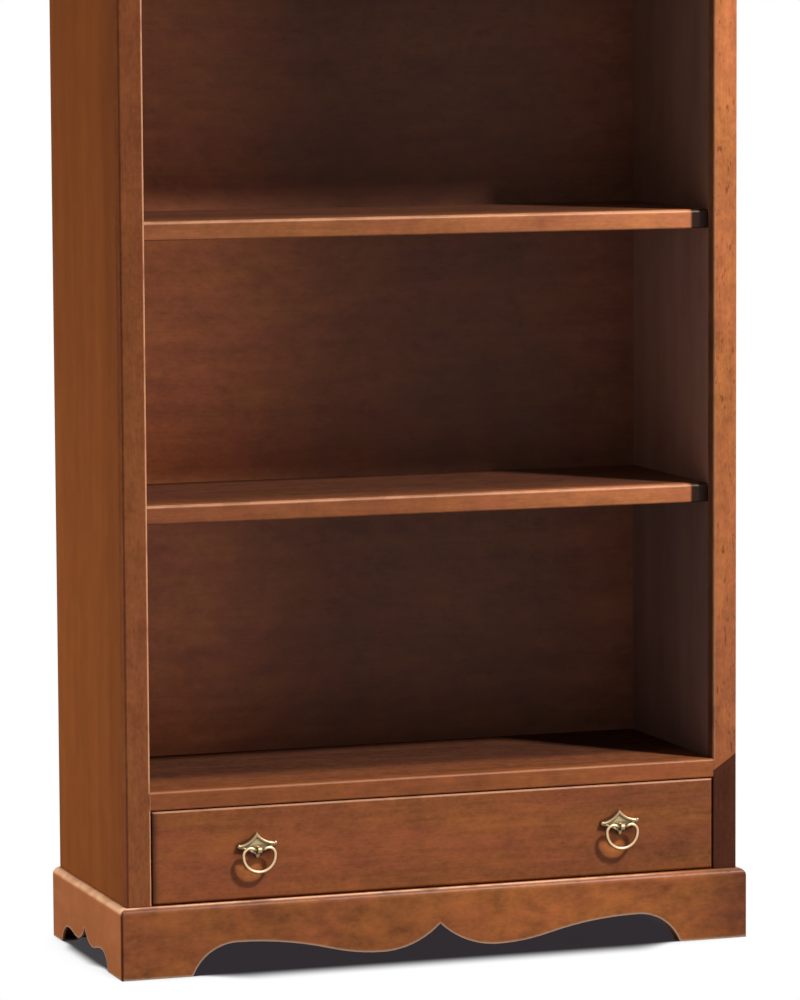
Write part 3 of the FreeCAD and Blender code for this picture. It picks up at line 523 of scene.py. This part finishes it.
# %% Landmarks on the frame
front_y, panel_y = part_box("left_stile")[0].y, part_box("left_stile")[1].y
inner_x, outer_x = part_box("floor_rail")[1].x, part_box("right_stile_upper")[1].x
inner_back_y, back_y, top_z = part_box("back_panel")[0].y, cad_high.y, cad_high.z
opening_low, opening_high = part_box("shelf_1")[1].z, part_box("shelf_2")[0].z
plinth_x, plinth_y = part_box("plinth_front")[1].x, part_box("plinth_front")[0].y
plinth_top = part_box("plinth_front")[1].z
drawer_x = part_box("drawer_front")[0].x
pivot = {joint["child"]: Vector(joint["pos_m"]) for joint in frame["joints"]
         if "ring" in joint["name"]}
for ring, place in pivot.items():
    print(ring, "turns at", [round(value, 4) for value in place])

# %% [markdown]
# ## Sides and back
# The sides are golden outside and a dull greyish brown inside, where the sun never reaches. The back panel is
# painted lighter towards the left, where light falls in past the right side, and painted darker at its right,
# where that side casts its shade. Inside and outside are two faces of the same board, so each fade is kept to one
# face by a thin skin around it. The openings between the shelves are painted with a little more or less light, and
# further limits tell them apart.

# %% Fades of the sides and the back
INSIDE = (1.10, 1.92, 4.85)
SKIN, DEEPER = 0.001, 0.004
LEFT_INSIDE = ("X", -inner_x - DEEPER, -inner_x - SKIN)
RIGHT_INSIDE = ("X", inner_x + DEEPER, inner_x + SKIN)
INNER_FACE = ("Y", inner_back_y + 0.003, inner_back_y + SKIN)
LOW_OPENING = ("Z", opening_low - 0.010, opening_low - 0.020)
MIDDLE_OPENING = (("Z", opening_low - 0.010, opening_low - SKIN),
                  ("Z", opening_high + 0.010, opening_high + SKIN))
HIGH_OPENING = ("Z", opening_high + 0.010, opening_high + 0.020)
SIDE_FADES = {
    "left_side_panel": [(*LEFT_INSIDE, INSIDE, INNER_FACE),
                        ("Z", 0.12*top_z, 0.72*top_z, (0.80, 0.78, 0.82)),
                        ("Y", panel_y + 0.10, panel_y, (0.88, 0.88, 0.95))],
    "right_side_panel": [(*RIGHT_INSIDE, INSIDE, INNER_FACE),
                         # Painted light and shade: the inner face is lighter in the middle opening and darker in
                         # the lowest one.
                         (*RIGHT_INSIDE, (1.35, 1.32, 1.35), INNER_FACE, *MIDDLE_OPENING),
                         (*RIGHT_INSIDE, (0.85, 0.87, 1.00), INNER_FACE, LOW_OPENING)],
    # Painted shade: the back is darker at its right, where the right side shades it.
    "back_panel": [("X", 0.95*inner_x, 0.50*inner_x, (0.66, 0.63, 0.60), INNER_FACE),
                   # Painted light: the back is much lighter towards the left, where light falls in past the right
                   # side.
                   ("X", -0.05*inner_x, -1.10*inner_x, (4.3, 4.0, 3.3), INNER_FACE),
                   # Painted light: in the middle opening the back is lighter still towards the left, and in the
                   # higher ones a little less so.
                   ("X", 0.35*inner_x, -0.25*inner_x, (1.60, 1.52, 1.38), INNER_FACE,
                    *MIDDLE_OPENING),
                   ("X", 0.60*inner_x, -0.25*inner_x, (0.80, 0.79, 0.80), INNER_FACE,
                    HIGH_OPENING),
                   ("Y", inner_back_y + SKIN, inner_back_y + 0.003, (1.02, 0.90, 0.68))],
}
OWN_HABITS = {board: dict(fades=fades) for board, fades in SIDE_FADES.items()}
print({board: len(fades) for board, fades in SIDE_FADES.items()}, "fades")

# %% [markdown]
# ## Stiles, floor and shelves
# The stiles are worn along the edges that face the opening, since that is where hands and books go in and out, and
# those edges also carry a painted highlight. The left one shows the dark line where it was planted on its side
# panel, and the inner face of the right one carries painted shade. The edges of the shelves and the front rail are
# painted lighter towards the right, where more light falls. A shelf edge carries a painted shadow, nearly black,
# where it meets the right stile. The shelves and the floor of the case are painted lighter towards the front,
# where light reaches in.

# %% Habits of the stiles, the floor and the shelves
OWN_HABITS["left_stile"] = dict(
    joints=[("X", -outer_x + 0.0014, 0.0022, 0.55)], glint_and_wear_side=RIGHTWARD, shine=0.0,
    fades=[("Z", 0.08*top_z, 0.70*top_z, (0.76, 0.72, 0.73))])
OWN_HABITS["right_stile_upper"] = dict(
    fades=[("Z", 0.48*top_z, 0.12*top_z, (0.70, 0.67, 0.76)),
           ("Z", 0.50*top_z, 0.68*top_z, (1.10, 1.11, 1.15)),
           # Painted shade on the inner face of this stile, which faces away from the light.
           ("X", inner_x + 0.0022, inner_x + 0.0005, (0.42, 0.50, 0.65))],
    strengths=dict(streak=0.6, mottle=0.6, speckle=0.8), fleck=0.8,
    glint_and_wear_side=LEFTWARD, glint_and_wear_from=(0.06, 0.30), glint_and_wear=0.3)
OWN_HABITS["floor_rail"] = dict(
    # Painted light: the rail is lighter towards the right, where more light falls.
    fades=[("X", 0.1*inner_x, inner_x, (1.3, 1.3, 1.3))], glint_and_wear=0.14)
OWN_HABITS["floor_panel"] = dict(
    # Painted light: the floor of the case is lighter towards the front, where light reaches in.
    fades=[("Y", panel_y + 0.12, panel_y + 0.03, (2.7, 2.4, 1.8))], fleck=0.3,
    strengths=dict(blotch=0.6), lean=0.7)
for number in (1, 2, 3):
    OWN_HABITS[f"shelf_{number}"] = dict(
        # Painted light: each shelf is lighter towards the front.
        fades=[("Y", panel_y + 0.10, panel_y + 0.02, (1.6, 1.6, 1.3))])
    OWN_HABITS[f"shelf_{number}_edge"] = dict(
        # Painted light: the shelf edge is lighter towards the right, where more light falls.
        fades=[("X", -0.25*inner_x, inner_x, (1.95, 2.05, 2.3)),
               # Painted shadow: the shelf edge is nearly black where the right stile shades it.
               ("X", inner_x - 0.0285, inner_x - 0.0235, (0.05, 0.05, 0.06))],
        glint_and_wear_until=("X", inner_x - 0.034, inner_x - 0.028))
print("boards with habits of their own:", len(OWN_HABITS))

# %% [markdown]
# ## Drawer, plinth and cornice
# The drawer carries painted shade down its left end, where its rounded edge faces away from the light, and a
# painted glow of light from the ring below each pivot, where the ring hangs. The plinth is mitred, and dirt has
# settled in the corner joint. Its front is painted lighter towards the middle right, as the light falls, and
# darker at its right end. The top of its quarter round carries a painted highlight. Its inner faces below the
# quarter round carry painted shade and are nearly black, which only shows through the scallops. The cornice is out
# of reach, so its edges are hardly worn or highlighted and have no scuffs.

# %% Habits of the drawer, the plinth and the cornice
# Painted light: a golden glow below each pivot stands for the light that the brass ring throws back.
RING_GLOW_BELOW = Vector((0.008, 0, 0.024))
OWN_HABITS["drawer_front"] = dict(
    rubbed=[place - RING_GLOW_BELOW for place in pivot.values()],
    # Painted shade: the drawer is darker down its left end, whose rounded edge faces away from the light.
    fades=[("X", drawer_x + 0.011, drawer_x + 0.001, (0.42, 0.36, 0.44)),
           ("X", 0.30*inner_x, 0.85*inner_x, (0.89, 0.92, 0.90))])
OWN_HABITS["plinth_front"] = dict(
    # Painted light: the plinth front is lighter towards the right, where more light falls.
    fades=[("X", -0.3*inner_x, 0.55*inner_x, (1.33, 1.35, 1.25)),
           ("X", 0.80*inner_x, plinth_x, (0.50, 0.46, 0.58))],
    # A narrow painted highlight along the top of the quarter round, dying away towards the right.
    joints=[("X", -plinth_x, 0.0034, 0.95)], bare_and_glint=(0.92, 0.56, 0.37), glint_and_wear_from=(0.74, 0.94),
    glint_and_wear_until=("X", 0.62*inner_x, 0.95*inner_x))
OWN_HABITS["plinth_left"] = dict(
    strengths=dict(ribbon=0.3, streak=0.2, blotch=0.5, mottle=0.2, speckle=0.1, fibre=0.2),
    fleck=0.0, lean=0.3, shine=0.0, glint_and_wear=0.85,
    # Painted highlight: the top of the quarter round is lighter where it catches the light.
    fades=[("Z", plinth_top - 0.0120, plinth_top - 0.0050, (1.35, 1.45, 1.5)),
           # Painted shade: the inner faces below the quarter round are nearly black.
           ("X", -plinth_x + 0.0015, -plinth_x + 0.0050, (0.12, 0.10, 0.10),
            ("Z", plinth_top - 0.018, plinth_top - 0.024), ("Y", back_y - 0.030, back_y - 0.036))],
    joints=[("Y", plinth_y, 0.0090, 0.95)], glint_and_wear_from=(0.05, 0.60), least=0.60,
    bare_and_glint=(1.0, 0.59, 0.34))
OWN_HABITS["plinth_right"] = dict(shine=0.0)
OWN_HABITS["plinth_back"] = dict(
    # Painted shade: the inner face of the back of the plinth is nearly black.
    fades=[("Y", back_y - 0.004, back_y - 0.010, (0.05, 0.06, 0.08))])
for side in ("front", "left", "right"):
    OWN_HABITS[f"cornice_{side}"] = dict(glint_and_wear=0.35, scuff=0.0, shine=0.0)
print("boards with habits of their own:", len(OWN_HABITS))

# %% [markdown]
# ## Wood on every board
# Grain runs along a board, because that is how it is sawn and where it is strong: up the sides and
# stiles, from front to back on the short lengths, and from left to right on the rest. Every board
# gets a material of its own, made by one loop from its slot's tone and habit and its own ones.

# %% Wood on every board
UPRIGHT = ("side_panel", "stile", "corner_blocks")
FRONT_TO_BACK = ("plinth_left", "plinth_right", "cornice_left", "cornice_right", "runner",
                 "kicker", "left_bearer", "right_bearer", "left_side", "right_side", "stops")


def grain_of(node):
    if any(word in node for word in UPRIGHT):
        return "Z"
    return "Y" if any(word in node for word in FRONT_TO_BACK) else "X"


for number, (node, slot) in enumerate(sorted(slot_of_node.items())):
    if slot in TONES:
        tone = OWN_TONES.get(node, TONES[slot])
        habit = {**HABITS[slot], **OWN_HABITS.get(node, {})}
        board = nodes[node].data
        board.materials.clear()
        board.materials.append(timber(f"{slot}.{node}", grain_of(node), number, tone, habit))
print("wood on", sum(slot in TONES for slot in slot_of_node.values()), "pieces")

# %% [markdown]
# ## Brass and steel
# The pulls are cast brass, lacquered and then handled for years, and brown with patina in their hollows and where
# they meet the wood. The side of each plate that faces up and to the right, towards the light, and the front of
# each ring carry a painted highlight, and elsewhere the brass is painted olive as shade. Close to the eye the
# rings are painted darker still, as shade with some tarnish. Metal takes its looks from what it mirrors, so the
# bright colour stays close to real brass. Only the facing, the hollows, the distance from the eye and a little
# noise decide where it is darker. The screws and bolts are plated steel, painted lighter and darker by their
# facing in the same way.

# %% Metal finishes
# Painted highlight on the side of each piece that faces these ways, and painted shade on the rest.
PLATE_LIT_SIDE, RING_LIT_SIDE = Vector((0.75, -0.10, 0.65)), Vector((0.10, -0.90, 0.38))
LIT_FACING = (0.35, 0.92)
CLOUD = (160, 160, 160)
DIRT_REACH, DIRT_HOLLOW, DIRT_CLOUD = 0.006, (0.75, 0.30), (0.5, 0.8, 0, 0.4)
# Painted shade with some tarnish on the rings close to the eye.
EYE_SHADE_AND_GRIME = (0.011, 0.006)
DIRT_DULLNESS = 0.35
PITTED, PIT_DEPTH = 0.25, 0.0002


def metal(name, side, highlight_colour, shade_colour, aged, rough, age, shaded_and_grimy_centres=()):
    """Metal painted bright as a highlight on one side and darker as shade elsewhere, aged in hollows, and painted
    darker near some centres as shade with tarnish.
    """
    material, tree, shader = new_material(name)
    cloud = noise(tree, place_on(tree), CLOUD, detail=4, roughness=LAYER_ROUGHNESS)
    lit_share = spread(tree, dot(tree, add(tree, "TexCoord").outputs["Normal"], side), *LIT_FACING)
    colour = blend_colour(tree, "MIX", lit_share, rgba(shade_colour), rgba(highlight_colour))
    hollow = spread(tree, openness(tree, DIRT_REACH, samples=8), *DIRT_HOLLOW)
    dirt_and_shade = reckon(tree, "ADD", hollow, spread(tree, cloud, *DIRT_CLOUD), clamp=True)
    for centre in shaded_and_grimy_centres:
        dirt_and_shade = reckon(tree, "MAXIMUM", dirt_and_shade, spread(tree, away_from(tree, centre), *EYE_SHADE_AND_GRIME))
    dirt_and_shade = reckon(tree, "MULTIPLY", dirt_and_shade, age)
    tree.links.new(blend_colour(tree, "MIX", dirt_and_shade, colour, rgba(aged)), shader.inputs["Base Color"])
    roughness = reckon(tree, "MULTIPLY_ADD", dirt_and_shade, DIRT_DULLNESS, rough)
    tree.links.new(roughness, shader.inputs["Roughness"])
    shader.inputs["Metallic"].default_value = 1.0
    bumped = add(tree, "Bump", Strength=PITTED, Distance=PIT_DEPTH, Height=cloud)
    tree.links.new(bumped.outputs["Normal"], shader.inputs["Normal"])
    return material


OLD_BRASS, OLD_STEEL = (0.05, 0.032, 0.012), (0.20, 0.19, 0.18)
plate_brass = metal("plate_brass", PLATE_LIT_SIDE, (0.82, 0.60, 0.39), (0.37, 0.275, 0.15), OLD_BRASS,
                    rough=0.46, age=0.95)
ring_brass = metal("ring_brass", RING_LIT_SIDE, (0.78, 0.52, 0.31), (0.15, 0.10, 0.04), OLD_BRASS,
                   rough=0.42, age=0.85, shaded_and_grimy_centres=list(pivot.values()))
steel = metal("steel", RING_LIT_SIDE, (0.58, 0.58, 0.59), (0.45, 0.45, 0.45), OLD_STEEL,
              rough=0.35, age=0.3)
METALS = {"brass": ring_brass, "steel": steel}
for node, slot in slot_of_node.items():
    if slot in METALS:
        nodes[node].data.materials.clear()
        nodes[node].data.materials.append(METALS[slot])
print("metal on", sum(slot in METALS for slot in slot_of_node.values()), "pieces")

# %% [markdown]
# ## Pull plates
# Each back plate is a small casting: a flat field with a high point, a raised brow along every edge
# that sweeps out to the tips, a turned neck with the eye of the ring, and a drop underneath. The frame
# has it as a plain plate, so a finer one stands in for it on the same outline. One vertex spun round
# the middle of each hollow draws the outline of the right half, which keeps the hollows true arcs.
# Mirrored, filled, extruded and bevelled, it is the field. Lengths here are measured from the pivot
# of the ring.

# %% Outline of a plate
PLATE_HIGH = Vector((0, 0, 0.0225))
TIP_TOP, TIP_LOW = Vector((0.0272, 0, 0.0082)), Vector((0.0272, 0, 0.0044))
DROP_ROOT, DROP_END = Vector((0.0056, 0, -0.0042)), Vector((0, 0, -0.0125))
BROW_BOW, WING_BOW = 0.034, 0.040
ARC_STEPS, OUTLINE_MERGE = 14, 0.0001
ACROSS, OUTWARD = (1, 0, 0), (0, 1, 0)


def hollow_arc(start, end, bow):
    """The middle and the angle of an arc that bows in on its way from start to end."""
    chord = end - start
    rise = math.sqrt(bow**2 - (chord.length/2)**2)
    middle = (start + end)/2 + rise*chord.cross(Vector(OUTWARD)).normalized()
    return middle, -2*math.asin(chord.length/2/bow)


def draw_arc(mesh, vertex, end, bow):
    middle, angle = hollow_arc(vertex.co.copy(), end, bow)
    last = bmesh.ops.spin(mesh, geom=[vertex], cent=middle, axis=OUTWARD, angle=angle,
                          steps=ARC_STEPS)["geom_last"]
    return [piece for piece in last if isinstance(piece, bmesh.types.BMVert)][0]


def draw_line(mesh, vertex, end):
    drawn = bmesh.ops.extrude_vert_indiv(mesh, verts=[vertex])["verts"][0]
    drawn.co = end
    return drawn


print("a brow turns by", round(math.degrees(-hollow_arc(PLATE_HIGH, TIP_TOP, BROW_BOW)[1]), 1),
      "degrees")

# %% [markdown]
# ## The field of a plate
# The field is the flat metal inside the brows. It could be modelled as a box and cut to shape, but
# the outline is already there: the operators fill it, pull it out to its thickness and bevel the
# front rim, as a casting's rim is eased with a file.

# %% The field of a plate
PLATE_THICK, PLATE_EASE = 0.0040, 0.0008


def edges_between(mesh, ends):
    """The edges whose two ends are both among these vertices."""
    return [edge for edge in mesh.edges if all(end in ends for end in edge.verts)]


def plate_field():
    mesh = bmesh.new()
    tip = draw_arc(mesh, mesh.verts.new(PLATE_HIGH), TIP_TOP, BROW_BOW)
    root = draw_arc(mesh, draw_line(mesh, tip, TIP_LOW), DROP_ROOT, WING_BOW)
    draw_line(mesh, root, DROP_END)
    bmesh.ops.mirror(mesh, geom=mesh.verts[:] + mesh.edges[:], axis="X", merge_dist=OUTLINE_MERGE)
    face = bmesh.ops.contextual_create(mesh, geom=mesh.edges[:])["faces"]
    raised = bmesh.ops.extrude_face_region(mesh, geom=face)["geom"]
    raised = [piece for piece in raised if isinstance(piece, bmesh.types.BMVert)]
    bmesh.ops.translate(mesh, verts=raised, vec=(0, -PLATE_THICK, 0))
    bmesh.ops.bevel(mesh, geom=edges_between(mesh, raised), offset=PLATE_EASE, segments=2,
                    affect="EDGES", profile=0.5, material=-1)
    return mesh


field = plate_field()
print("field of a plate:", len(field.faces), "faces,",
      sum(edge.is_boundary for edge in field.edges), "open edges")

# %% [markdown]
# ## Brows
# A brow is a round bar laid along the edge of the field. A curve with a bevel would make one, but it
# would have to become a mesh afterwards, so a circle is spun along the same arc as the edge that it
# crowns. It starts a little before the middle, where a cutting plane trims it, so that the mirrored
# one meets it on a clean mitre. Small balls close the tips.

# %% Brows
UPPER_BROW, LOWER_BROW, BROW_SIDES = 0.0025, 0.0015, 14
BROW_SET = Vector((0, 0, 0.0026))
BROW_LEAD = math.radians(6)
TIP_BALL = 0.0028
BALL_SET = Vector((0.0012, PLATE_THICK, 0))
MERGE = 0.00001


def add_brow(mesh, start, end, bow, radius, lead):
    """A round bar along a hollow arc, in front of the field."""
    middle, angle = hollow_arc(start, end, bow)
    tangent = Vector(OUTWARD).cross(start - middle)
    place = Matrix.Translation(start - Vector((0, PLATE_THICK, 0)))
    turn = tangent.to_track_quat("Z", "X").to_matrix().to_4x4()
    ring = bmesh.ops.create_circle(mesh, segments=BROW_SIDES, radius=radius,
                                   matrix=place @ turn)["verts"]
    bmesh.ops.rotate(mesh, verts=ring, cent=middle, matrix=Matrix.Rotation(lead, 3, "Y"))
    first = edges_between(mesh, ring)
    last = bmesh.ops.spin(mesh, geom=ring + first, cent=middle, axis=OUTWARD, angle=angle - lead,
                          steps=ARC_STEPS)["geom_last"]
    for ends in (first, [piece for piece in last if isinstance(piece, bmesh.types.BMEdge)]):
        bmesh.ops.holes_fill(mesh, edges=ends, sides=0)


def ball(mesh, centre, radius, shape=(1, 1, 1)):
    made = bmesh.ops.create_uvsphere(mesh, u_segments=20, v_segments=12, radius=radius)["verts"]
    bmesh.ops.scale(mesh, verts=made, vec=shape)
    bmesh.ops.translate(mesh, verts=made, vec=centre)


def everything(mesh):
    return mesh.verts[:] + mesh.edges[:] + mesh.faces[:]


def brows():
    mesh = bmesh.new()
    add_brow(mesh, PLATE_HIGH - BROW_SET, TIP_TOP - BROW_SET, BROW_BOW, UPPER_BROW, BROW_LEAD)
    add_brow(mesh, TIP_LOW, DROP_ROOT, WING_BOW, LOWER_BROW, 0.0)
    bmesh.ops.bisect_plane(mesh, geom=everything(mesh), plane_co=(0, 0, 0), plane_no=ACROSS,
                           clear_inner=True)
    ball(mesh, (TIP_TOP + TIP_LOW)/2 - BALL_SET, TIP_BALL)
    bmesh.ops.mirror(mesh, geom=everything(mesh), axis="X", merge_dist=MERGE)
    return mesh


print("brows of", 2000*UPPER_BROW, "and", 2000*LOWER_BROW, "mm")

# %% [markdown]
# ## Neck, eye and drop
# The neck was turned on a lathe, and so it is here: its profile is spun full circle about the way
# out of the drawer. The eye that holds the ring is a small profile spun about the pivot, which leaves
# its bore open. The drop is a ball drawn out downwards.

# %% Neck, eye and drop
NECK = ((0, -0.0030), (0.0050, -0.0036), (0.0038, -0.0050), (0.0032, -0.0066), (0.0038, -0.0086),
        (0, -0.0095))
EYE = ((-0.0030, 0.0028), (0.0030, 0.0028), (0.0030, 0.0041), (0.0022, 0.0048),
       (-0.0022, 0.0048), (-0.0030, 0.0041))
DROP_BALL, DROP_SHAPE = 0.0030, (0.95, 0.85, 1.45)
DROP_PLACE = Vector((0, -PLATE_THICK, 0.5*DROP_END.z - 0.002))
TURNED_STEPS = 28


def add_turned(mesh, profile, axis, closed, centre):
    """Spins a profile full circle. Each row is a distance along X, then one along Y or Z."""
    drawn = []
    for first, second in profile:
        place = Vector((first, 0, second)) if axis == ACROSS else Vector((first, second, 0))
        drawn.append(mesh.verts.new(place + centre))
    pairs = list(zip(drawn, drawn[1:])) + ([(drawn[-1], drawn[0])] if closed else [])
    edges = [mesh.edges.new(pair) for pair in pairs]
    bmesh.ops.spin(mesh, geom=drawn + edges, cent=centre, axis=axis, angle=2*math.pi,
                   steps=TURNED_STEPS, use_merge=True)
    bmesh.ops.remove_doubles(mesh, verts=mesh.verts, dist=MERGE)


def middle_of_plate(pivot_depth):
    mesh = bmesh.new()
    add_turned(mesh, NECK, OUTWARD, closed=False, centre=Vector())
    add_turned(mesh, EYE, ACROSS, closed=True, centre=Vector((0, pivot_depth, 0)))
    ball(mesh, DROP_PLACE, DROP_BALL, DROP_SHAPE)
    return mesh


print("the eye has a bore of", 2000*min(second for _, second in EYE), "mm")

# %% [markdown]
# ## Casting a plate
# A real plate is cast in one, so the parts are gathered in one mesh at the pivot of its ring, with
# the field against the drawer. The plates sit slightly crooked, so the field and the brows are turned
# a little, while the neck and the eye stay true to the ring. Joining them with a boolean would leave
# ragged seams that nobody sees, so the parts just sink into each other. The edges that are really
# sharp stay sharp, and everything else is shaded smooth.

# %% Casting a plate
SHARP = math.radians(40)
CROOKED = Matrix.Rotation(math.radians(-3), 3, "Y")


def gather(parts):
    """One bmesh of several, with all their faces pointing outwards."""
    whole = bmesh.new()
    for part in parts:
        gathered = bpy.data.meshes.new("gathered")
        bmesh.ops.recalc_face_normals(part, faces=part.faces)
        part.to_mesh(gathered)
        whole.from_mesh(gathered)
        bpy.data.meshes.remove(gathered)
        part.free()
    return whole


def cast(name, place):
    """The mesh of a whole plate for a ring that turns at this place."""
    crooked = (field.copy(), brows())
    for part in crooked:
        bmesh.ops.rotate(part, verts=part.verts, cent=(0, 0, 0), matrix=CROOKED)
    whole = gather((*crooked, middle_of_plate(place.y - front_y)))
    bmesh.ops.translate(whole, verts=whole.verts, vec=(place.x, front_y, place.z))
    for face in whole.faces:
        face.smooth = True
    mesh = bpy.data.meshes.new(name)
    whole.to_mesh(mesh)
    whole.free()
    mesh.set_sharp_from_angle(angle=SHARP)
    mesh.materials.append(plate_brass)
    return mesh


print("plates are crooked by", round(math.degrees(CROOKED.to_euler().y)), "degrees")

# %% [markdown]
# ## Both plates
# The two pulls are alike, so both plates come from the same mould. Each casting stands in for the
# plain plate of the frame and goes out with the drawer, because that is what it is screwed to.

# %% Both plates
for hand in ("left", "right"):
    mesh = cast(f"{hand}_plate_casting", pivot[f"{hand}_ring"])
    casting = bpy.data.objects.new(mesh.name, mesh)
    bpy.context.scene.collection.objects.link(casting)
    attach(casting, "drawer")
    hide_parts(f"{hand}_pull_plate")
    print(casting.name, len(mesh.polygons), "faces")
field.free()

# %% [markdown]
# ## Floor
# The bookcase stands on a plain white floor that is one grid square, far wider than any view of it. A
# floor that is only lit would turn grey towards its edges, so to the camera and to mirrors it glows
# white, and to soft light it is a pale ordinary floor.

# %% Floor
FLOOR_HALF = 14.0
FLOOR_TONE, FLOOR_ROUGHNESS = (0.46, 0.45, 0.44), 0.9

floor_mesh = bmesh.new()
bmesh.ops.create_grid(floor_mesh, x_segments=1, y_segments=1, size=FLOOR_HALF)
floor = bpy.data.objects.new("floor", bpy.data.meshes.new("floor"))
floor_mesh.to_mesh(floor.data)
floor_mesh.free()
bpy.context.scene.collection.objects.link(floor)


def seen(tree):
    """One for the camera and for mirrors, and none for soft light."""
    path = add(tree, "LightPath").outputs
    direct = reckon(tree, "MAXIMUM", path["Is Camera Ray"], path["Is Glossy Ray"])
    return reckon(tree, "MAXIMUM", direct, path["Is Transmission Ray"])


floor_material, floor_tree, floor_shader = new_material("floor")
floor_shader.inputs["Base Color"].default_value = rgba(FLOOR_TONE)
floor_shader.inputs["Roughness"].default_value = FLOOR_ROUGHNESS
floor.data.materials.append(floor_material)
print("floor", 2*FLOOR_HALF, "m wide")

# %% [markdown]
# ## Shade on the floor
# A floor that glows takes no shadow, so its shade is drawn: it darkens where little sky reaches it,
# under the base, and it ends where the footprint does. In front of the scalloped openings the edge of
# that shade is wide and soft, beside the feet it is crisp, and at the sides it is a little lighter.

# %% Shade on the floor
SHADE_REACH, SHADE_SKY = 0.6, (0.36, 0.56)
SHADE, SIDE_SHADE = (0.032, 0.026, 0.030), (0.056, 0.050, 0.054)
SOFT_FRONT, SOFT_SIDE, CRISP_EDGE = 0.060, 0.018, 0.008
FRONT_OPENING, SIDE_OPENING = (0.80*plinth_x, 0.60*plinth_x), (0.115, 0.050)
SIDE_MIDDLE, BACK_OPENING = 0.020, 0.5
SIDE_STRIP = (0.80*plinth_x, 0.96*plinth_x)


def soft_edge(tree, beyond, softness, opening):
    """None inside the footprint and one beyond it, over a width that grows at an opening."""
    width = reckon(tree, "MULTIPLY_ADD", opening, softness, CRISP_EDGE)
    share = reckon(tree, "DIVIDE", reckon(tree, "ADD", beyond, CRISP_EDGE), width, clamp=True)
    return spread(tree, share, 0.0, 1.0)


def lit_floor(tree, spot, across):
    """One where the floor is white, and none in the shade of the bookcase."""
    from_middle = reckon(tree, "ABSOLUTE", reckon(tree, "SUBTRACT", spot["Y"], SIDE_MIDDLE))
    front = soft_edge(tree, reckon(tree, "SUBTRACT", plinth_y, spot["Y"]), SOFT_FRONT,
                      spread(tree, across, *FRONT_OPENING))
    side = soft_edge(tree, reckon(tree, "SUBTRACT", across, plinth_x), SOFT_SIDE,
                     spread(tree, from_middle, *SIDE_OPENING))
    back = soft_edge(tree, reckon(tree, "SUBTRACT", spot["Y"], back_y), SOFT_SIDE, BACK_OPENING)
    beyond = reckon(tree, "MAXIMUM", reckon(tree, "MAXIMUM", front, side), back)
    sky = spread(tree, openness(tree, SHADE_REACH, samples=24), *SHADE_SKY)
    return reckon(tree, "MINIMUM", sky, beyond)


floor_spot = split(floor_tree, place_on(floor_tree))
floor_across = reckon(floor_tree, "ABSOLUTE", floor_spot["X"])
shade = blend_colour(floor_tree, "MIX", spread(floor_tree, floor_across, *SIDE_STRIP), rgba(SHADE),
                     rgba(SIDE_SHADE))
lit = lit_floor(floor_tree, floor_spot, floor_across)
glow = add(floor_tree, "Emission", Strength=1.0,
           Color=blend_colour(floor_tree, "MIX", lit, shade, rgba((1, 1, 1))))
shown = add(floor_tree, "MixShader", _0=seen(floor_tree), _1=floor_shader.outputs[0],
            _2=glow.outputs[0])
floor_tree.links.new(shown.outputs[0], floor_tree.nodes["Material Output"].inputs["Surface"])
print("shade reaches", 1000*SOFT_FRONT, "mm out of the front openings")

# %% [markdown]
# ## Background
# A white studio wall behind the bookcase would throw its own light on it. The world does without a
# wall: the camera and mirrors see plain white, and soft light gets only a fifth of it.

# %% World
WORLD_LIGHT = 0.20
world = bpy.data.worlds.new("studio")
bpy.context.scene.world = world
world.use_nodes = True
background = world.node_tree.nodes["Background"]
background.inputs["Color"].default_value = rgba((1, 1, 1))
strength = reckon(world.node_tree, "MULTIPLY_ADD", seen(world.node_tree), 1 - WORLD_LIGHT,
                  WORLD_LIGHT)
world.node_tree.links.new(strength, background.inputs["Strength"])
print("soft light of the world", WORLD_LIGHT)

# %% [markdown]
# ## Light
# One soft box high on the right in front draws the form. It stands well back, so that top and bottom
# get nearly the same light, and so high that the shelves keep most of it off the back panel. A wide
# box on the left lights the outside of that side without looking into the shelves, one on the right
# does the same there, and another behind keeps the back from going dull.

# %% Lamps
KEY_WAY = Vector((0.86, -1.0, 1.42)).normalized()
KEY_DISTANCE = 10.4
KEY_TARGET = Vector((0, front_y, 0.6))


def soft_box(name, place, target, size, watts):
    lamp = bpy.data.objects.new(name, bpy.data.lights.new(name, "AREA"))
    lamp.data.size = size
    lamp.data.energy = watts
    direction = Vector(target) - Vector(place)
    turn = direction.to_track_quat("-Z", "Y").to_matrix()
    lamp.matrix_world = Matrix.Translation(place) @ turn.to_4x4()
    bpy.context.scene.collection.objects.link(lamp)


soft_box("key", KEY_TARGET + KEY_DISTANCE*KEY_WAY, KEY_TARGET, size=0.8, watts=1345)
soft_box("left_fill", (-3.2, 1.0, 0.9), (-outer_x, 0.1, 0.7), size=1.6, watts=62)
soft_box("right_fill", (3.2, 1.0, 0.9), (outer_x, 0.1, 0.7), size=1.6, watts=20)
soft_box("back_fill", (1.0, 4.0, 2.4), (0, 0.2, 0.9), size=2.5, watts=110)

# %% [markdown]
# ## Hand-over
# The picture is shown as it is, with no film look.

# %% Finish
bpy.context.scene.view_settings.view_transform = "Standard"
